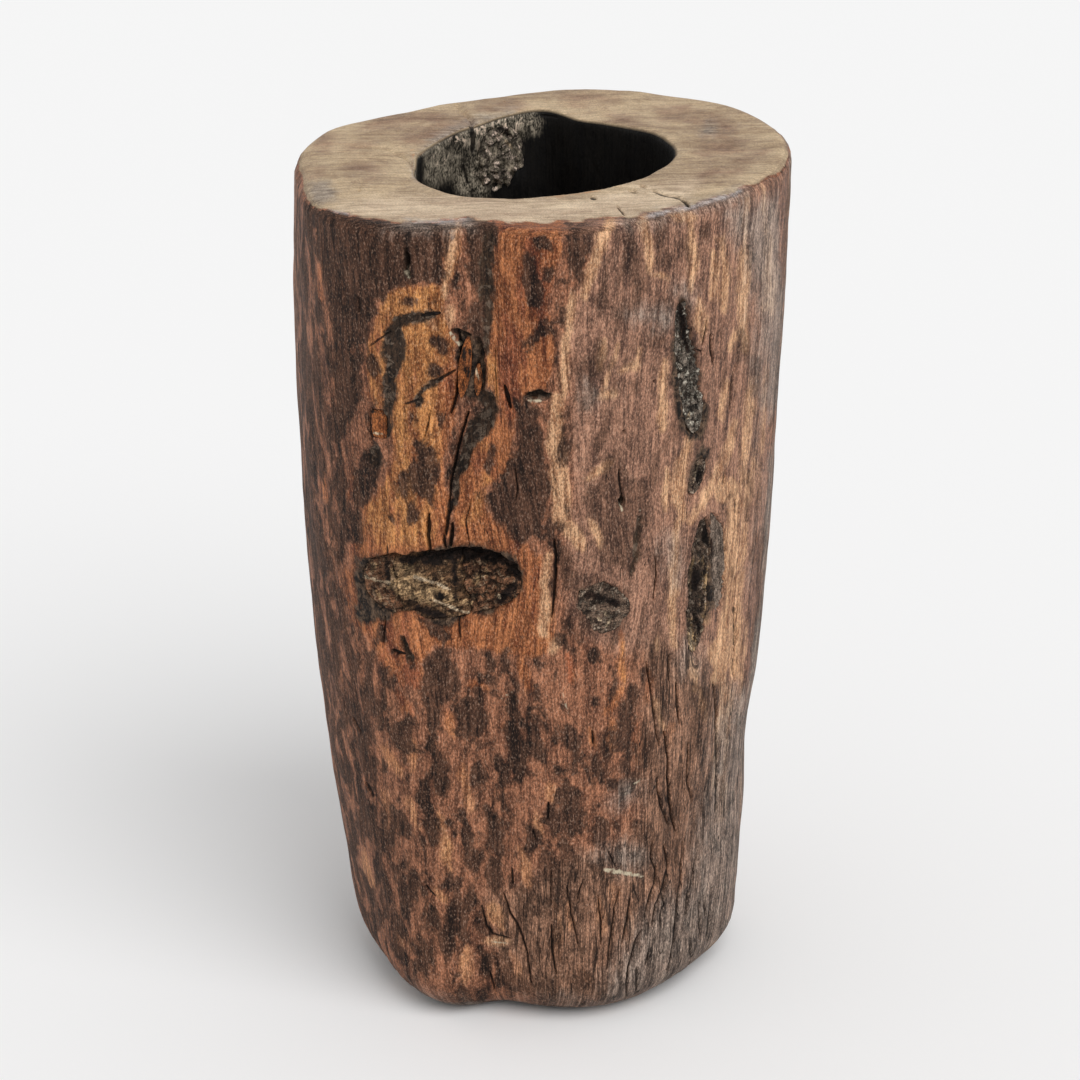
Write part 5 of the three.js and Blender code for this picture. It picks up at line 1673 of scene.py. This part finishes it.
# %% [markdown]
# On the right a long rotten knot, the bark that hugs it, a small knot and a seam of ingrown bark lie one
# above the other, where a branch once stood. Their fibres run upwards, and each has its own few marks.

# %% The knots and the bark of the right side
CORE_MARKS = {
    "pale": [(1.6, 699, 596, 703, 600), (1.6, 688, 620, 692, 650), (1.4, 690, 522, 696, 504),
             (1.2, 687, 560, 689, 600), (1.2, 700, 632, 706, 626)],
    "gold": [(7, 703, 574, 708, 592), (9, 706, 606, 711, 624), (4, 702, 562, 706, 568),
             (3, 692, 560, 690, 590), (9, 689, 622, 692, 650)],
    "dark": [(9, 696, 568, 695, 590), (8, 704, 526, 708, 545), (6, 696, 616, 698, 630)],
}
BARK_MARKS = {"pale": [(1.4, 708, 522, 706, 532)], "dark": [(3, 711, 540, 712, 590)]}
SMALL_KNOT_MARKS = {
    "pale": [(2, 699, 462, 695, 473, 693, 484)],
    "dark": [(4, 699, 468, 697, 480), (6, 706, 450, 712, 458)],
}
SEAM_MARKS = {
    "pale": [(2.4, 684, 388, 681, 394), (1.6, 690, 412, 687, 419)],
    "dark": [(7, 680, 300, 683, 330, 688, 350), (3, 677, 350, 677, 390), (4, 686, 393, 687, 396)],
}
CENTRE_MARKS = {
    "pale": [(2, 604, 612, 608, 616), (2, 610, 620, 606, 626), (1.6, 598, 618, 601, 622)],
    # Both dark strokes are painted shade under the top edge of the opening.
    "dark": [(7, 586, 595, 604, 598), (5, 608, 601, 618, 604)],
}
held_piece("right_core", "right_knot_core", GREY_KNOT, CORE_MARKS, cells=(24, 80), ridges=0.8,
           lumps=1.6, lump_size=4, bulge=-1.5)
held_piece("right_bark", "right_knot_bark", OLD_BARK, BARK_MARKS, cells=(16, 70), ridges=0.4,
           lumps=0.8, lump_size=4, bulge=-0.3)
held_piece("small_knot", "right_small_knot", GREY_KNOT, SMALL_KNOT_MARKS, cells=(16, 30),
           ridges=0.6, lumps=0.9, lump_size=2.6, bulge=-0.8)
held_piece("bark_seam", "ingrown_bark", BARK, SEAM_MARKS, cells=(24, 80), ridges=0.3, lumps=1.5,
           lump_size=3, bulge=-0.8)
held_piece("hollow_knot", "centre_knot", GREY_KNOT, CENTRE_MARKS, cells=(40, 40), ridges=0.4,
           lumps=1.0, lump_size=3, bulge=-0.4)

# %% [markdown]
# Three bits of sound wood have split off beside the long fissure and stayed there: a block outlined by
# cracks, a splinter and a thin shard. The last piece is a lump of crumbly rot inside the mouth.

# %% The chips and the rot
CHIP_MARKS = {"pale": [(0.8, 374, 433, 382, 434)], "dark": [(2, 371, 412, 386, 411)]}
SPLINTER_MARKS = {
    "pale": [(1.4, 474, 332, 477, 345)],
    "dark": [(3, 462, 345, 466, 372), (1.8, 470, 350, 467, 386), (1.4, 463, 380, 466, 398)],
}
SHARD_MARKS = {
    "pale": [(1.1, 476, 368, 479, 380)],
    "dark": [(2, 481, 370, 483, 386), (1.6, 475, 384, 478, 396)],
}
ROT_MARKS = {"pale": [(4, 514, 121, 525, 128), (3, 505, 140, 512, 148)], "dark": [(6, 500, 124, 506, 134)]}
held_piece("chip", "loose_chip", SPLIT_WOOD, CHIP_MARKS, cells=(16, 26), ridges=0.25,
           lumps=0.2, lump_size=3, bulge=0.2)
held_piece("splinter", "fissure_splinter", SPLIT_WOOD, SPLINTER_MARKS, cells=(14, 50),
           ridges=0.9, lumps=0.5, lump_size=3, bulge=0.2)
held_piece("shard", "fissure_shard", SPLIT_WOOD, SHARD_MARKS, cells=(10, 30), ridges=0.5,
           lumps=0.3, lump_size=2.6, bulge=0.1)
held_piece("rot_lump", "inner_rot", ROTTEN_WOOD, ROT_MARKS, cells=(40, 50), ridges=0.6,
           lumps=2.6, lump_size=5, bulge=1.0)

# %% [markdown]
# Last comes the plain studio. A wide sun from the front right and an even sky light the wood at about
# the level at which its colours were read. The floor is pale enough to be the background, and keeps the
# pot's soft shadow.

# %% Studio light
BACKGROUND = srgb(245, 245, 245)
SKY_STRENGTH, SUN_STRENGTH, SUN_WIDTH = 0.64, 1.5, 45
SUN_AZIMUTH, SUN_HEIGHT = -56, 50

scene = bpy.context.scene
scene.view_settings.view_transform = "Standard"
world = bpy.data.worlds.new("studio")
scene.world = world
world.use_nodes = True
sky = world.node_tree
sky.nodes.clear()
rays = put(sky, "ShaderNodeLightPath").outputs
mirrored = calc(sky, "MAXIMUM", rays["Is Glossy Ray"], rays["Is Transmission Ray"])
seen_sky = calc(sky, "MAXIMUM", rays["Is Camera Ray"], mirrored)
soft_light = put(sky, "ShaderNodeBackground", {"Color": (1, 1, 1, 1), "Strength": SKY_STRENGTH}).outputs[0]
backdrop = put(sky, "ShaderNodeBackground", {"Color": BACKGROUND, "Strength": 1.0}).outputs[0]
mixed = put(sky, "ShaderNodeMixShader", {0: seen_sky, 1: soft_light, 2: backdrop}).outputs[0]
put(sky, "ShaderNodeOutputWorld", {"Surface": mixed})

sun_data = bpy.data.lights.new("sun", "SUN")
sun_data.energy = SUN_STRENGTH
sun_data.angle = math.radians(SUN_WIDTH)
sun = bpy.data.objects.new("sun", sun_data)
turn, climb = math.radians(SUN_AZIMUTH), math.radians(SUN_HEIGHT)
from_sun = Vector((math.cos(turn) * math.cos(climb), math.sin(turn) * math.cos(climb), math.sin(climb)))
sun.rotation_euler = from_sun.to_track_quat("Z", "Y").to_euler()
scene.collection.objects.link(sun)
print("studio: sun", SUN_STRENGTH, "sky", SKY_STRENGTH)

# %% Studio floor
FLOOR_HALF, FLOOR_ROUGHNESS = 12, 0.9

floor_shape = bmesh.new()
bmesh.ops.create_grid(floor_shape, x_segments=1, y_segments=1, size=FLOOR_HALF)
floor_mesh = bpy.data.meshes.new("floor")
floor_shape.to_mesh(floor_mesh)
floor_shape.free()
floor = bpy.data.objects.new("floor", floor_mesh)
scene.collection.objects.link(floor)
floor_paint, _, paint, _ = new_material("pale_floor")
paint.inputs["Base Color"].default_value = BACKGROUND
paint.inputs["Roughness"].default_value = FLOOR_ROUGHNESS
paint.inputs["Specular IOR Level"].default_value = 0.0
floor.data.materials.append(floor_paint)
print("floor:", 2 * FLOOR_HALF, "metres wide")
